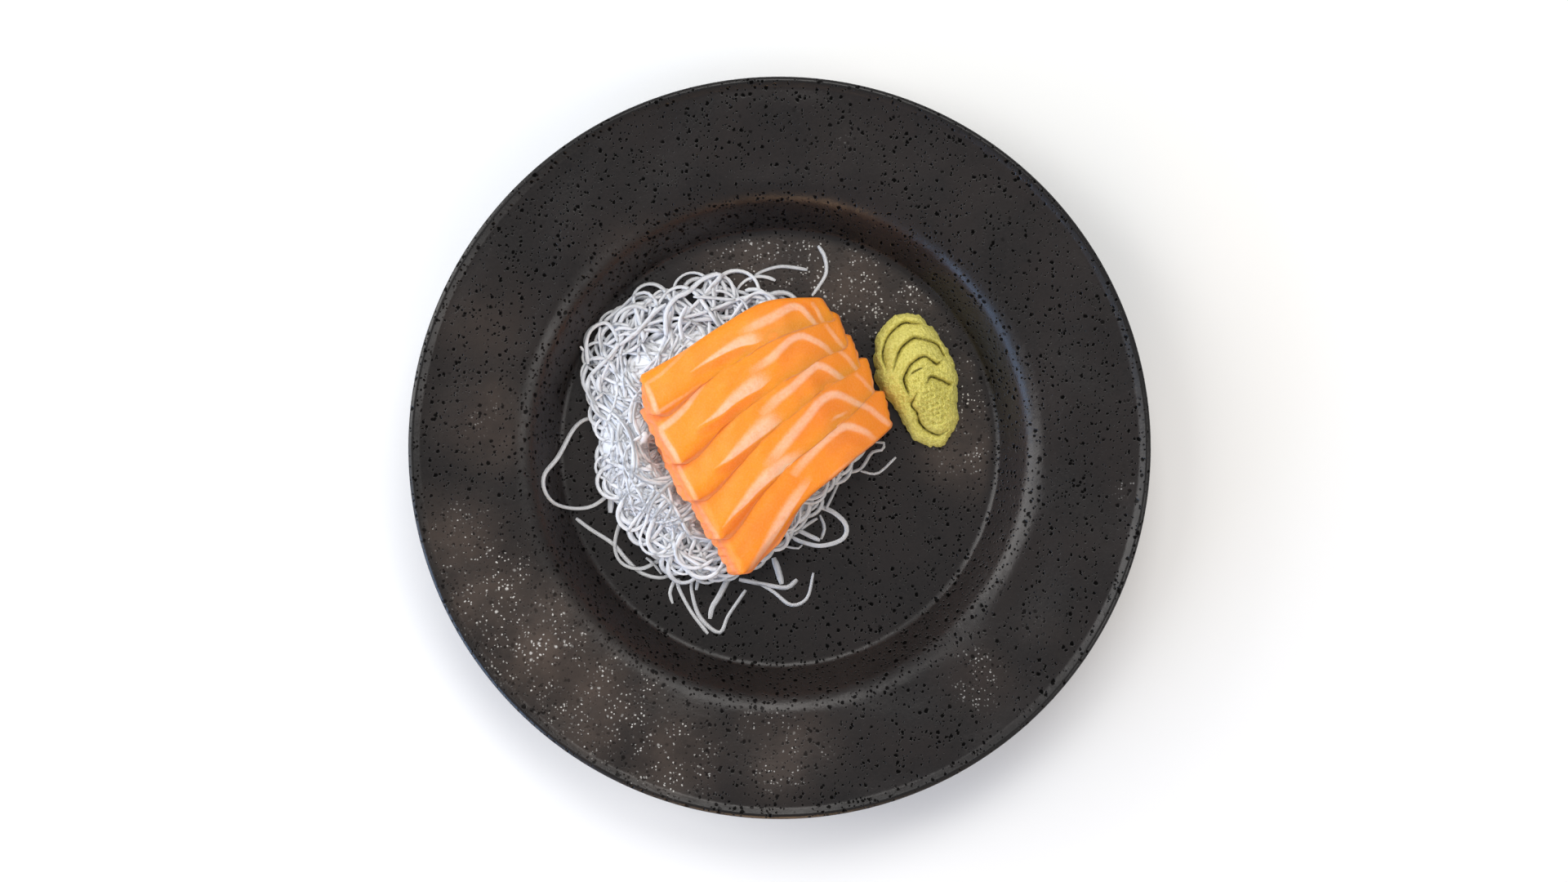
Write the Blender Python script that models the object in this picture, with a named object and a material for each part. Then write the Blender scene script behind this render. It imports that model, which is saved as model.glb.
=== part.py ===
"""Sashimi plate: a wide-brimmed stoneware plate that holds five leaning slices of raw
salmon, a heap of shredded radish under them and a ridged mound of wasabi paste.

Run with: blender --background --python part.py
Scene units are metres. The sizes below are millimetres times MM. +Z is up, and the
origin is the middle of the plate's foot, on the table. +X is to the right and +Y is
to the top of the plate as it is served.
"""

import math

import bpy
import numpy as np

MM = 0.001

# Plate, a turned shape: (radius, height, fillet radius) of each corner of its section.
PLATE_RADIUS = 125.0
FLOOR_Z = 6.5
UNDERSIDE_Z = 2.6
WELL_RADIUS = 75.5
WALL_TOP = (86.5, 20.5)
BRIM_OUTER = (121.0, 25.4)
LIP_TOP = (123.3, 26.9)
FOOT_OUTER = 76.5
FOOT_INNER = 71.5
PLATE_SEGMENTS = 64
BRIM_WAVE_HEIGHT = 0.35

# Food rests on what is below it with this gap.
REST_GAP = 0.35

# Salmon: the slices fan between two plan curves, the hidden edge of the first slice
# and the raised edge of the last one. Each runs smoothly through evenly spaced points.
FAN_FIRST = ((-47.4, 24.4), (-33.8, 31.8), (-19.9, 41.0), (-4.4, 49.4), (14.0, 51.2))
FAN_LAST = ((-11.8, -43.0), (-1.0, -29.2), (10.2, -16.2), (24.4, -4.6), (38.2, 7.8))
SLICE_LENGTH = 70.0
SLICE_THICKNESS = 6.0
SLICE_ROUNDING = 1.3
# Per slice: shares of the fan at which its raised edge lies, at even steps from its left
# end to its right end, that edge's height, its thickness left and right, plan widths left
# and right (none: out to the fan's first curve), how far its left end is drawn back, and
# how far its right end stands out.
SLICES = (
    {"shares": (0.205, 0.195, 0.205, 0.21, 0.18), "edge_z": 30.0, "edge": (2.4, 0.9),
     "width": None, "start": 0.0, "tooth": 0.0},
    {"shares": (0.435, 0.425, 0.435, 0.425, 0.375), "edge_z": 29.6, "edge": (2.4, 0.9),
     "width": (20.5, 16.0), "start": -1.2, "tooth": 1.2},
    {"shares": (0.61, 0.615, 0.61, 0.585, 0.545), "edge_z": 28.8, "edge": (2.4, 0.9),
     "width": (20.5, 15.5), "start": -2.2, "tooth": 1.8},
    {"shares": (0.815, 0.805, 0.805, 0.795, 0.755), "edge_z": 27.4, "edge": (2.4, 0.9),
     "width": (20.0, 16.0), "start": -0.8, "tooth": 3.4},
    {"shares": (1.0, 1.0, 1.0, 1.0, 1.0), "edge_z": 25.2, "edge": (5.0, 3.0),
     "width": (20.0, 15.5), "start": 0.0, "tooth": 2.8},
)
# Along a slice its raised edge is a low arch that droops past a knee. Across it, the top
# rolls over at that edge, and the slice thickens from the edge inward.
ARCH_HEIGHT = 1.2
KNEE = 0.66
DROOP = 8.5
ROLL_DEPTH = 1.9
ROLL_WIDTHS = (5.0, 3.2)
THICKENING = 7.0
EDGE_FADE = (0.05, 0.4)
FIRST_SLICE_SLOPE = 0.22
FIRST_SLICE_BEND = (8.0, 0.07)
HIDDEN_EDGE_BEND = 0.08
# The cut ends slant: their lower corner lies further out along the slice and further
# inward from its raised edge, and the raised side leans out too.
OBLIQUE_LEFT_END = (6.0, 4.6)
OBLIQUE_RIGHT_END = 0.6
SIDE_LEAN_LEFT = 4.2
SIDE_LEAN_REST = 0.7
LEAN_FADE = (0.09, 0.36)
LAST_LEAN_FADE = (0.22, 0.5)

# Shredded radish: outline radii around HEAP_CENTRE, one every 360 / 15 degrees from +X.
HEAP_CENTRE = (-22.0, 3.0)
HEAP_RADII = (47.0, 47.0, 48.0, 54.0, 54.0, 56.0, 53.0, 43.0, 40.0, 41.5, 44.0, 48.0, 44.0, 40.0, 42.0)
HEAP_HEIGHT = 13.0
HEAP_EDGE_HEIGHT = 3.2
FISH_MARGIN = 4.5
FISH_GAP = 0.7
HEAP_TOP_LIMIT = 74.5
HEAP_FOOT_LIMIT = 71.0
HEAP_RINGS = 11
HEAP_SEGMENTS = 48

# Wasabi: outline radii around WASABI_CENTRE, one every 22.5 degrees from +X.
WASABI_CENTRE = (47.0, 23.1)
WASABI_RADII = (
    14.6, 14.6, 15.4, 18.2, 23.0, 22.9, 19.4, 15.3,
    13.6, 12.2, 11.5, 13.6, 20.4, 24.3, 20.2, 15.6,
)
WASABI_HEIGHT = 10.5
WASABI_RIM = 4.6
WASABI_RINGS = 10
WASABI_SEGMENTS = 38
WASABI_ROLLS = 3.0
WASABI_ROLL_DEPTH = 1.0


def material(name, colour, roughness):
    """A Principled BSDF in the piece's own colour."""
    made = bpy.data.materials.new(name)
    made.use_nodes = True
    shader = made.node_tree.nodes["Principled BSDF"]
    shader.inputs["Base Color"].default_value = (*colour, 1.0)
    shader.inputs["Roughness"].default_value = roughness
    shader.inputs["Metallic"].default_value = 0.0
    return made


def add_object(name, points, faces, finish):
    """A named object from points in millimetres and their faces."""
    mesh = bpy.data.meshes.new(name)
    mesh.from_pydata((np.asarray(points) * MM).tolist(), [], faces)
    mesh.materials.append(finish)
    mesh.shade_smooth()
    mesh.set_sharp_from_angle(angle=math.radians(50))
    made = bpy.data.objects.new(name, mesh)
    bpy.context.scene.collection.objects.link(made)
    return made


def smooth_step(low, high, value):
    """0 below low, 1 above high, with a smooth rise between."""
    share = np.clip((value - low) / (high - low), 0.0, 1.0)
    return share * share * (3 - 2 * share)


def ring_faces(rings, segments, first, last):
    """Quads between rings of equal size, with a fan to the points first and last."""
    faces = []
    for ring in range(rings - 1):
        for step in range(segments):
            ahead = (step + 1) % segments
            low, high = ring * segments, (ring + 1) * segments
            faces.append((low + step, high + step, high + ahead, low + ahead))
    end = (rings - 1) * segments
    for step in range(segments):
        ahead = (step + 1) % segments
        faces.append((first, step, ahead))
        faces.append((end + step, last, end + ahead))
    return faces


def cubic(before, here, after, beyond, share):
    """Smooth value between here and after, from four evenly spaced neighbours."""
    return here + 0.5 * share * (
        after - before
        + share * (2 * before - 5 * here + 4 * after - beyond
                   + share * (3 * (here - after) + beyond - before))
    )


def periodic_radius(radii, angle):
    """Outline radius at an angle: a cubic through evenly spaced radii."""
    place = np.asarray(angle) / (2 * math.pi) * len(radii)
    near = np.floor(place).astype(int)
    share = place - near
    neighbours = (np.take(radii, (near + step) % len(radii)) for step in (-1, 0, 1, 2))
    return cubic(*neighbours, share)


# ---------------------------------------------------------------- plate


def filleted(corners):
    """Section line through corners (radius, height, fillet), each rounded by its fillet
    in one to three steps."""
    line = [corners[0][:2]]
    for before, here, after in zip(corners, corners[1:], corners[2:]):
        corner = np.array(here[:2])
        back, ahead = np.array(before[:2]) - corner, np.array(after[:2]) - corner
        back_way, ahead_way = back / np.linalg.norm(back), ahead / np.linalg.norm(ahead)
        half_angle = 0.5 * math.acos(float(np.clip(back_way @ ahead_way, -1, 1)))
        reach = here[2] / math.tan(half_angle)
        middle_way = back_way + ahead_way
        middle_way /= np.linalg.norm(middle_way)
        centre = corner + middle_way * here[2] / math.sin(half_angle)
        start, end = corner + back_way * reach - centre, corner + ahead_way * reach - centre
        sweep = math.atan2(
            start[0] * end[1] - start[1] * end[0], float(start @ end)
        )
        steps = 1 if here[2] < 1 else 2 if here[2] < 3 else 3
        for step in range(steps + 1):
            turn = sweep * step / steps
            line.append((
                centre[0] + start[0] * math.cos(turn) - start[1] * math.sin(turn),
                centre[1] + start[0] * math.sin(turn) + start[1] * math.cos(turn),
            ))
    line.append(corners[-1][:2])
    return np.array(line)


def brim_wave(radius, angle):
    """Soft hand-formed dimples of the brim, fading out at the lip and at the wall."""
    band = smooth_step(88.0, 97.0, radius) * (1 - smooth_step(115.0, 122.0, radius))
    wave = np.sin(9 * angle + 0.6 * np.sin(2 * angle)) * np.cos(radius / 8.5 + 1.7 * np.sin(3 * angle))
    return BRIM_WAVE_HEIGHT * band * wave


def build_plate():
    """Turned plate with a flat well, a steep wall, a wide brim, a rounded lip and a foot ring."""
    section = filleted([
        (0.0, FLOOR_Z, 0),
        (WELL_RADIUS, FLOOR_Z, 4.0),
        (*WALL_TOP, 7.0),
        (*BRIM_OUTER, 2.5),
        (*LIP_TOP, 1.0),
        (PLATE_RADIUS, 26.0, 1.0),
        (PLATE_RADIUS - 0.9, 22.9, 1.4),
        (89.0, 16.0, 9.0),
        (79.2, 4.0, 3.0),
        (FOOT_OUTER, 0.0, 0.7),
        (FOOT_INNER, 0.0, 0.7),
        (FOOT_INNER - 1.6, UNDERSIDE_Z, 0.9),
        (0.0, UNDERSIDE_Z, 0),
    ])
    angles = np.arange(PLATE_SEGMENTS) * 2 * math.pi / PLATE_SEGMENTS
    radius, angle = np.meshgrid(section[1:-1, 0], angles, indexing="ij")
    height = np.repeat(section[1:-1, 1:], PLATE_SEGMENTS, axis=1) + brim_wave(radius, angle)
    rings = np.stack([radius * np.cos(angle), radius * np.sin(angle), height], axis=-1)
    points = np.vstack([rings.reshape(-1, 3), [(0, 0, FLOOR_Z)], [(0, 0, UNDERSIDE_Z)]])
    faces = ring_faces(len(rings), PLATE_SEGMENTS, len(points) - 2, len(points) - 1)
    glaze = material("stoneware_glaze", (0.035, 0.030, 0.028), 0.38)
    return add_object("plate", points, faces, glaze)


# ---------------------------------------------------------------- salmon


def curve_point(points, share):
    """Point at a share, 0 to 1, along the smooth curve through evenly spaced points."""
    points = np.array(points)
    points = np.vstack([2 * points[0] - points[1], points, 2 * points[-1] - points[-2]])
    spans = len(points) - 3
    place = np.asarray(share, dtype=float) * spans
    near = np.clip(np.floor(place).astype(int), 0, spans - 1)
    local = (place - near)[..., None]
    before, here, after, beyond = (points[near + step] for step in range(4))
    return cubic(before, here, after, beyond, local)


def fan_span(along):
    """Distance across the fan, from its first curve to its last, at a share along it."""
    return np.linalg.norm(curve_point(FAN_LAST, along) - curve_point(FAN_FIRST, along), axis=-1)


def fan_share(index, along):
    """Share across the fan at which a slice's raised edge lies."""
    shares = np.array(SLICES[index]["shares"])[:, None]
    return curve_point(shares, along)[..., 0]


def edge_height(index, along):
    """Height of a slice's raised edge before it rolls over."""
    arch = ARCH_HEIGHT * 4 * along * (1 - along)
    past = np.clip((along - KNEE) / (1 - KNEE), 0, 2)
    return SLICES[index]["edge_z"] + arch - DROOP * past**1.5


def edge_thickness(index, along):
    """Thickness of a slice at its raised edge."""
    left, right = SLICES[index]["edge"]
    return left + (right - left) * smooth_step(*EDGE_FADE, along)


def plan_width(index, along):
    """Width of a slice seen from above."""
    if SLICES[index]["width"] is None:
        return fan_share(index, along) * fan_span(along)
    left, right = SLICES[index]["width"]
    return left + (right - left) * along


def pitch(index, along):
    """Distance in plan from the raised edge of the slice before to a slice's own."""
    return (fan_share(index, along) - fan_share(index - 1, along)) * fan_span(along)


def slice_plane(index, along, inward):
    """Height of a slice's top, inward millimetres from its raised edge, without its roll.
    Past the first slice it falls so that it meets the edge of the slice before from below."""
    edge = edge_height(index, along)
    if index == 0:
        start, bend = FIRST_SLICE_BEND
        return edge - FIRST_SLICE_SLOPE * inward - bend * np.maximum(inward - start, 0) ** 2
    step = SLICES[index]["edge_z"] - SLICES[index - 1]["edge_z"]
    fall = step + ROLL_DEPTH + edge_thickness(index - 1, along) + REST_GAP
    reach = pitch(index, along)
    return edge - inward * fall / reach - HIDDEN_EDGE_BEND * np.maximum(inward - reach, 0) ** 2


def slice_top(index, along, inward):
    """Height of a slice's top surface."""
    width = ROLL_WIDTHS[0] + (ROLL_WIDTHS[1] - ROLL_WIDTHS[0]) * smooth_step(0.2, 0.7, along)
    roll = ROLL_DEPTH * np.clip(1 - inward / width, 0, 1.4) ** 2
    return slice_plane(index, along, inward) - roll


def slice_bottom(index, along, inward):
    """Height of a slice's underside: its thickness down, or resting on the next slice."""
    edge = ROLL_DEPTH + edge_thickness(index, along)
    thickness = edge + (SLICE_THICKNESS - edge) * smooth_step(0, THICKENING, inward)
    bottom = slice_plane(index, along, inward) - thickness
    if index < len(SLICES) - 1:
        resting = slice_top(index + 1, along, inward + pitch(index + 1, along)) + REST_GAP
        bottom = np.maximum(bottom, resting)
    return np.maximum(bottom, FLOOR_Z + 2 * REST_GAP)


def slice_point(index, x, across, depth):
    """World point of a slice. x runs along its length and depth from its top down, in
    millimetres of the unbent slab; across is 0 at its raised edge and 1 at its hidden one."""
    chosen = SLICES[index]
    along, level = x / SLICE_LENGTH, depth / SLICE_THICKNESS
    width = plan_width(index, along)
    inward = across * width
    rise, fall = smooth_step(0.0, 0.68, across), smooth_step(0.68, 0.92, across)
    slant = level * (1 - across) if index == 0 else level
    start = chosen["start"] - OBLIQUE_LEFT_END[0] * slant
    end = chosen["tooth"] * (rise - 1.4 * fall) + OBLIQUE_RIGHT_END * level
    shift = start * (1 - along) ** 4 + end * along**6
    fade = LAST_LEAN_FADE if index == len(SLICES) - 1 else LEAN_FADE
    lean = SIDE_LEAN_REST + SIDE_LEAN_LEFT * smooth_step(0.0, 0.09, along) * (1 - smooth_step(*fade, along))
    inward = inward - lean * level * (1 - across) ** 2
    inward = inward + OBLIQUE_LEFT_END[1] * slant * (1 - along) ** 4
    along = along + shift / SLICE_LENGTH
    reach = np.minimum(inward, width)
    top, bottom = slice_top(index, along, reach), slice_bottom(index, along, reach)
    share = fan_share(index, along) - inward / fan_span(along)
    first, last = curve_point(FAN_FIRST, along), curve_point(FAN_LAST, along)
    plan = first + (last - first) * share[..., None]
    height = top + (bottom - top) * level
    return np.concatenate([plan, height[..., None]], axis=-1)


def box_shell(x_levels, y_levels, z_levels):
    """Points and quads of a box's outside, with a lattice line at each level."""
    counts = [len(levels) for levels in (x_levels, y_levels, z_levels)]
    seen, points, faces = {}, [], []

    def corner(i, j, k):
        if (i, j, k) not in seen:
            seen[i, j, k] = len(points)
            points.append((x_levels[i], y_levels[j], z_levels[k]))
        return seen[i, j, k]

    for axis in range(3):
        first, second = (axis + 1) % 3, (axis + 2) % 3
        for side in (0, counts[axis] - 1):
            for p in range(counts[first] - 1):
                for q in range(counts[second] - 1):
                    quad = []
                    for step_p, step_q in ((0, 0), (1, 0), (1, 1), (0, 1)):
                        place = [0, 0, 0]
                        place[axis], place[first], place[second] = side, p + step_p, q + step_q
                        quad.append(corner(*place))
                    faces.append(quad if side else quad[::-1])
    return np.array(points), faces


def rounded(points, low, high, radius):
    """Moves points on a box's outside onto the same box with rounded edges."""
    inner = np.clip(points, np.array(low) + radius, np.array(high) - radius)
    away = points - inner
    return inner + away * radius / np.linalg.norm(away, axis=1, keepdims=True)


def build_slice(index, flesh):
    """One slice of salmon: a rounded slab, bent so that it leans on the next slice."""
    width = float(plan_width(index, 0.5))
    near = SLICE_ROUNDING * np.array([0.0, 1.0])
    size = (SLICE_LENGTH, width, SLICE_THICKNESS)
    middle = (
        np.linspace(0, SLICE_LENGTH, 13)[1:-1],
        np.linspace(0, width, 6)[1:-1],
        np.array([SLICE_THICKNESS / 2]),
    )
    levels = [
        np.concatenate([near, inside, side - near[::-1]]) for side, inside in zip(size, middle)
    ]
    points, faces = box_shell(*levels)
    points = rounded(points, (0, 0, 0), size, SLICE_ROUNDING)
    # The slab's third axis runs down from its top, which turns its faces inside out.
    faces = [face[::-1] for face in faces]
    world = slice_point(index, points[:, 0], points[:, 1] / width, points[:, 2])
    return add_object(f"salmon_slice_{index + 1}", world, faces, flesh)


# ---------------------------------------------------------------- radish heap


def fish_undersides():
    """Points all over the slices' undersides and lower edges."""
    x, across = np.meshgrid(np.linspace(0, SLICE_LENGTH, 71), np.linspace(0, 1, 21), indexing="ij")
    depth = np.full(x.shape, SLICE_THICKNESS)
    return np.vstack([slice_point(i, x, across, depth).reshape(-1, 3) for i in range(len(SLICES))])


def fish_ceiling(x, y):
    """Height of the lowest fish over or near each plan point, or far up where there is none."""
    under = fish_undersides()
    lowest = np.full(x.shape, 1000.0)
    for place in np.ndindex(x.shape):
        near = np.hypot(under[:, 0] - x[place], under[:, 1] - y[place]) < FISH_MARGIN
        if near.any():
            lowest[place] = under[near, 2].min()
    return lowest


def heap_height(x, y, share):
    """Height of the heap over the plate's floor; share is 0 at its middle and 1 at its
    outline. It is a lumpy dome, pressed down to the undersides of the fish on it."""
    dome = HEAP_EDGE_HEIGHT + (HEAP_HEIGHT - HEAP_EDGE_HEIGHT) * (1 - share**2.6)
    lumps = 1 + 0.10 * np.sin(x / 6.1 + 1.0) * np.cos(y / 7.3)
    return np.minimum(dome * lumps, fish_ceiling(x, y) - FISH_GAP - FLOOR_Z)


def within(points, limit):
    """Points drawn in towards the plate's middle, to a limit in plan."""
    reach = np.linalg.norm(points[..., :2], axis=-1, keepdims=True)
    drawn = points.copy()
    drawn[..., :2] *= np.minimum(1, limit / reach)
    return drawn


def build_heap():
    """The heap of shredded radish, out to its uneven outline."""
    angles = np.arange(HEAP_SEGMENTS) * 2 * math.pi / HEAP_SEGMENTS
    outline = periodic_radius(HEAP_RADII, angles)
    outline = outline * (1 + 0.025 * np.sin(11 * angles) + 0.015 * np.sin(17 * angles + 1))
    shares = np.sin(np.arange(1, HEAP_RINGS + 1) / HEAP_RINGS * math.pi / 2)
    share, angle = np.meshgrid(shares, angles, indexing="ij")
    x = HEAP_CENTRE[0] + share * outline * np.cos(angle)
    y = HEAP_CENTRE[1] + share * outline * np.sin(angle)
    top = within(np.stack([x, y, FLOOR_Z + heap_height(x, y, share)], axis=-1), HEAP_TOP_LIMIT)
    foot = within(top[-1], HEAP_FOOT_LIMIT)
    foot[:, 2] = FLOOR_Z + REST_GAP
    rings = np.concatenate([top, foot[None]])
    middle = np.array([*HEAP_CENTRE])
    crown = FLOOR_Z + heap_height(*middle[:, None], 0.0)
    points = np.vstack([
        rings.reshape(-1, 3), [(*middle, float(crown[0]))], [(*middle, FLOOR_Z + REST_GAP)],
    ])
    faces = ring_faces(len(rings), HEAP_SEGMENTS, len(points) - 2, len(points) - 1)
    radish = material("shredded_radish", (0.78, 0.80, 0.84), 0.3)
    return add_object("daikon_heap", points, faces, radish)


# ---------------------------------------------------------------- wasabi


def wasabi_height(x, y, share):
    """Height of the mound at plan offsets from its middle: a dome with nested rolls
    that open to the lower right, where the paste is rough and sinks to a hollow."""
    dome = WASABI_RIM + (WASABI_HEIGHT - WASABI_RIM) * (1 - share**2.2)
    fold_x, fold_y = x - 4.5, y + 5.0
    fold = np.hypot(fold_x / 0.72, fold_y)
    roll = np.clip(1 - fold / 26.0, 0, 1) * WASABI_ROLLS
    upper_left = smooth_step(-0.4, 0.5, (0.9 * fold_y - 0.45 * fold_x) / (fold + 1.0))
    groove = 1 - np.abs(np.sin(math.pi * roll))
    hollow = np.exp(-(((x - 5.0) / 6.0) ** 2) - ((y + 13.0) / 6.5) ** 2)
    return dome - WASABI_ROLL_DEPTH * groove**3 * upper_left - 2.0 * hollow


def build_wasabi():
    """The mound of wasabi paste."""
    angles = np.arange(WASABI_SEGMENTS) * 2 * math.pi / WASABI_SEGMENTS
    outline = periodic_radius(WASABI_RADII, angles)
    shares = np.sin(np.arange(1, WASABI_RINGS + 1) / WASABI_RINGS * math.pi / 2)
    share, angle = np.meshgrid(shares, angles, indexing="ij")
    x, y = share * outline * np.cos(angle), share * outline * np.sin(angle)
    centre = np.array(WASABI_CENTRE)
    height = wasabi_height(x, y, share)
    height[-1] *= 0.55
    top = np.stack([x + centre[0], y + centre[1], FLOOR_Z + height], axis=-1)
    foot = top[-1].copy()
    foot[:, :2] = centre + (foot[:, :2] - centre) * 0.97
    foot[:, 2] = FLOOR_Z + REST_GAP
    rings = np.concatenate([top, foot[None]])
    crown = FLOOR_Z + float(wasabi_height(np.array(0.0), np.array(0.0), np.array(0.0)))
    points = np.vstack([
        rings.reshape(-1, 3), [(*centre, crown)], [(*centre, FLOOR_Z + REST_GAP)],
    ])
    faces = ring_faces(len(rings), WASABI_SEGMENTS, len(points) - 2, len(points) - 1)
    paste = material("wasabi_paste", (0.58, 0.60, 0.12), 0.75)
    return add_object("wasabi_mound", points, faces, paste)


def main():
    """Clears the scene and builds the plate and what is on it."""
    for old in list(bpy.data.objects):
        bpy.data.objects.remove(old)
    build_plate()
    build_heap()
    flesh = material("salmon_flesh", (0.95, 0.33, 0.07), 0.35)
    for index in range(len(SLICES)):
        build_slice(index, flesh)
    build_wasabi()


main()
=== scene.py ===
"""Sashimi plate: fanned slices of raw salmon on shredded radish, with wasabi, on a dark plate.

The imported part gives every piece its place. This script gives each one its fine surface
and its finish. Lengths in the classes are millimetres unless a name says otherwise, and
meshes are made in metres. +Z is up, and the origin is the middle of the plate's foot.
"""

import logging
import math
from dataclasses import dataclass
from enum import Enum

import bpy
import numpy as np
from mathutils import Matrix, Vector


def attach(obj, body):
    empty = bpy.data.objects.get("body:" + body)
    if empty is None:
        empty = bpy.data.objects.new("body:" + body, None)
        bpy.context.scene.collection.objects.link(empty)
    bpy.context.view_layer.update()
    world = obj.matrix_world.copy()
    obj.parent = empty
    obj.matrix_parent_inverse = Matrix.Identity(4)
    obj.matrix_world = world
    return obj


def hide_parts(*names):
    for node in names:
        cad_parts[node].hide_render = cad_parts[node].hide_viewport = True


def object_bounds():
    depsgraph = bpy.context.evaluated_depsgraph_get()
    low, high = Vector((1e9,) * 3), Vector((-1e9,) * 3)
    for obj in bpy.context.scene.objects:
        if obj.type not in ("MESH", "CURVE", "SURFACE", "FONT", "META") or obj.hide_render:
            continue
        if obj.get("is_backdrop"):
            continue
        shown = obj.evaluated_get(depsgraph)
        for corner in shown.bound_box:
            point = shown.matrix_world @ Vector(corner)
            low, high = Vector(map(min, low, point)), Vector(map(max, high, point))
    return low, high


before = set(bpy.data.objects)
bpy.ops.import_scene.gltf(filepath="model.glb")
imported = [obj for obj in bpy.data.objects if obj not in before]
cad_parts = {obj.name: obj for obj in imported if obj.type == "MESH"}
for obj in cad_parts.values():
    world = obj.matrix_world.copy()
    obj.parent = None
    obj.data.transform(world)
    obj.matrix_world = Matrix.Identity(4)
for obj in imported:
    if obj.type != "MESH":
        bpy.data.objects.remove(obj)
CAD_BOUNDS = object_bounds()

log = logging.getLogger("sashimi_plate")

MM = 0.001
Array = np.ndarray
Colour = tuple[float, float, float]


# ---------------------------------------------------------------- shapes


def smooth_step(low: float, high: float, value: Array) -> Array:
    """Rise smoothly from 0 below low to 1 above high, as 3s^2 - 2s^3 of the share s.

    Args:
        low: Value at which the rise starts.
        high: Value at which it ends.
        value: Values to map.

    Returns:
        Shares from 0 to 1.
    """
    share = np.clip((np.asarray(value, dtype=float) - low) / (high - low), 0.0, 1.0)
    return share * share * (3 - 2 * share)


def spline(points: Array, share: Array, closed: bool = False) -> Array:
    """Point at a share, 0 to 1, along the smooth cubic curve through evenly spaced points.

    Between two points the curve is the cubic whose slope at each is half the step from
    the point before it to the point after it.

    Args:
        points: Points, one per row, of any width.
        share: Shares along the curve.
        closed: Whether the last point runs on into the first.

    Returns:
        Points of the curve, one per share, in the last axis.
    """
    points = np.asarray(points, dtype=float)
    if closed:
        points = np.concatenate([points[-1:], points, points[:2]])
    else:
        points = np.concatenate([2 * points[:1] - points[1:2], points, 2 * points[-1:] - points[-2:-1]])
    spans = len(points) - 3
    place = np.asarray(share, dtype=float) * spans
    near = np.clip(np.floor(place).astype(int), 0, spans - 1)
    local = place - near
    if points.ndim > 1:
        local = local[..., None]
    before, here, after, beyond = (points[near + step] for step in range(4))
    bend = 2 * before - 5 * here + 4 * after - beyond
    return here + 0.5 * local * (after - before + local * (bend + local * (3 * (here - after) + beyond - before)))


def along_route(route: Array, step: float) -> Array:
    """Points every step of length along the smooth curve through a route's points.

    Args:
        route: Points chosen along the route, unevenly spaced.
        step: Spacing of the result, in the route's unit.

    Returns:
        Evenly spaced points of the curve.
    """
    fine = spline(np.asarray(route), np.linspace(0, 1, 40 * len(route)))
    length = np.concatenate([[0], np.cumsum(np.linalg.norm(np.diff(fine, axis=0), axis=1))])
    places = np.linspace(0, length[-1], max(int(length[-1] / step), 4))
    return np.stack([np.interp(places, length, column) for column in fine.T], axis=1)


def soft_noise(x: Array, y: Array, size: float, seed: int) -> Array:
    """Smooth unevenness in about -1 to 1: the mean of eight plane waves of random heading.

    Args:
        x: First coordinates.
        y: Second coordinates.
        size: Typical distance between two crests.
        seed: Picks the waves.

    Returns:
        Heights of the same shape as x.
    """
    draw = np.random.default_rng(seed)
    total = np.zeros(np.broadcast(x, y).shape)
    for heading, phase, stretch in draw.uniform((0, 0, 0.7), (2 * math.pi, 2 * math.pi, 1.6), (8, 3)):
        turn = 2 * math.pi * stretch / size
        total += np.sin(turn * (x * math.cos(heading) + y * math.sin(heading)) + phase)
    return total / 4.0


def make_mesh(name: str, points: Array, quads: Array, finish: bpy.types.Material) -> bpy.types.Object:
    """Make a smooth-shaded object from points in millimetres.

    Args:
        name: Name of the piece.
        points: Points in millimetres, one per row.
        quads: Faces, four corners per row; a row whose last two are the same is a triangle.
        finish: Its material.

    Returns:
        The object, at the origin.
    """
    mesh = bpy.data.meshes.new(name)
    corners = np.asarray(quads, dtype=np.int32)
    counts = np.where(corners[:, 3] == corners[:, 2], 3, 4).astype(np.int32)
    keep = np.ones(corners.shape, dtype=bool)
    keep[:, 3] = counts == 4
    loops = corners[keep]
    mesh.vertices.add(len(points))
    mesh.vertices.foreach_set("co", (np.asarray(points) * MM).astype(np.float32).ravel())
    mesh.loops.add(len(loops))
    mesh.loops.foreach_set("vertex_index", loops)
    mesh.polygons.add(len(counts))
    mesh.polygons.foreach_set("loop_start", np.concatenate([[0], np.cumsum(counts)[:-1]]).astype(np.int32))
    mesh.update(calc_edges=True)
    mesh.validate()
    mesh.polygons.foreach_set("use_smooth", np.ones(len(mesh.polygons), dtype=bool))
    mesh.materials.append(finish)
    piece = bpy.data.objects.new(name, mesh)
    bpy.context.scene.collection.objects.link(piece)
    return piece


def add_attribute(piece: bpy.types.Object, name: str, values: Array) -> None:
    """Store one number per point of a piece, for its finish to read."""
    layer = piece.data.attributes.new(name, "FLOAT", "POINT")
    layer.data.foreach_set("value", np.asarray(values, dtype=np.float32).ravel())


def finish_piece(piece: bpy.types.Object, slot: str, *nodes: str) -> None:
    """Fix a piece to the part, log its slot, and let it stand for the named solids.

    Args:
        piece: The finished piece.
        slot: The record's material slot.
        nodes: Solids of the part that the piece replaces.
    """
    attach(piece, "root")
    if nodes:
        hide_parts(*nodes)
    log.info("%s: %d faces, slot %s", piece.name, len(piece.data.polygons), slot)


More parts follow.
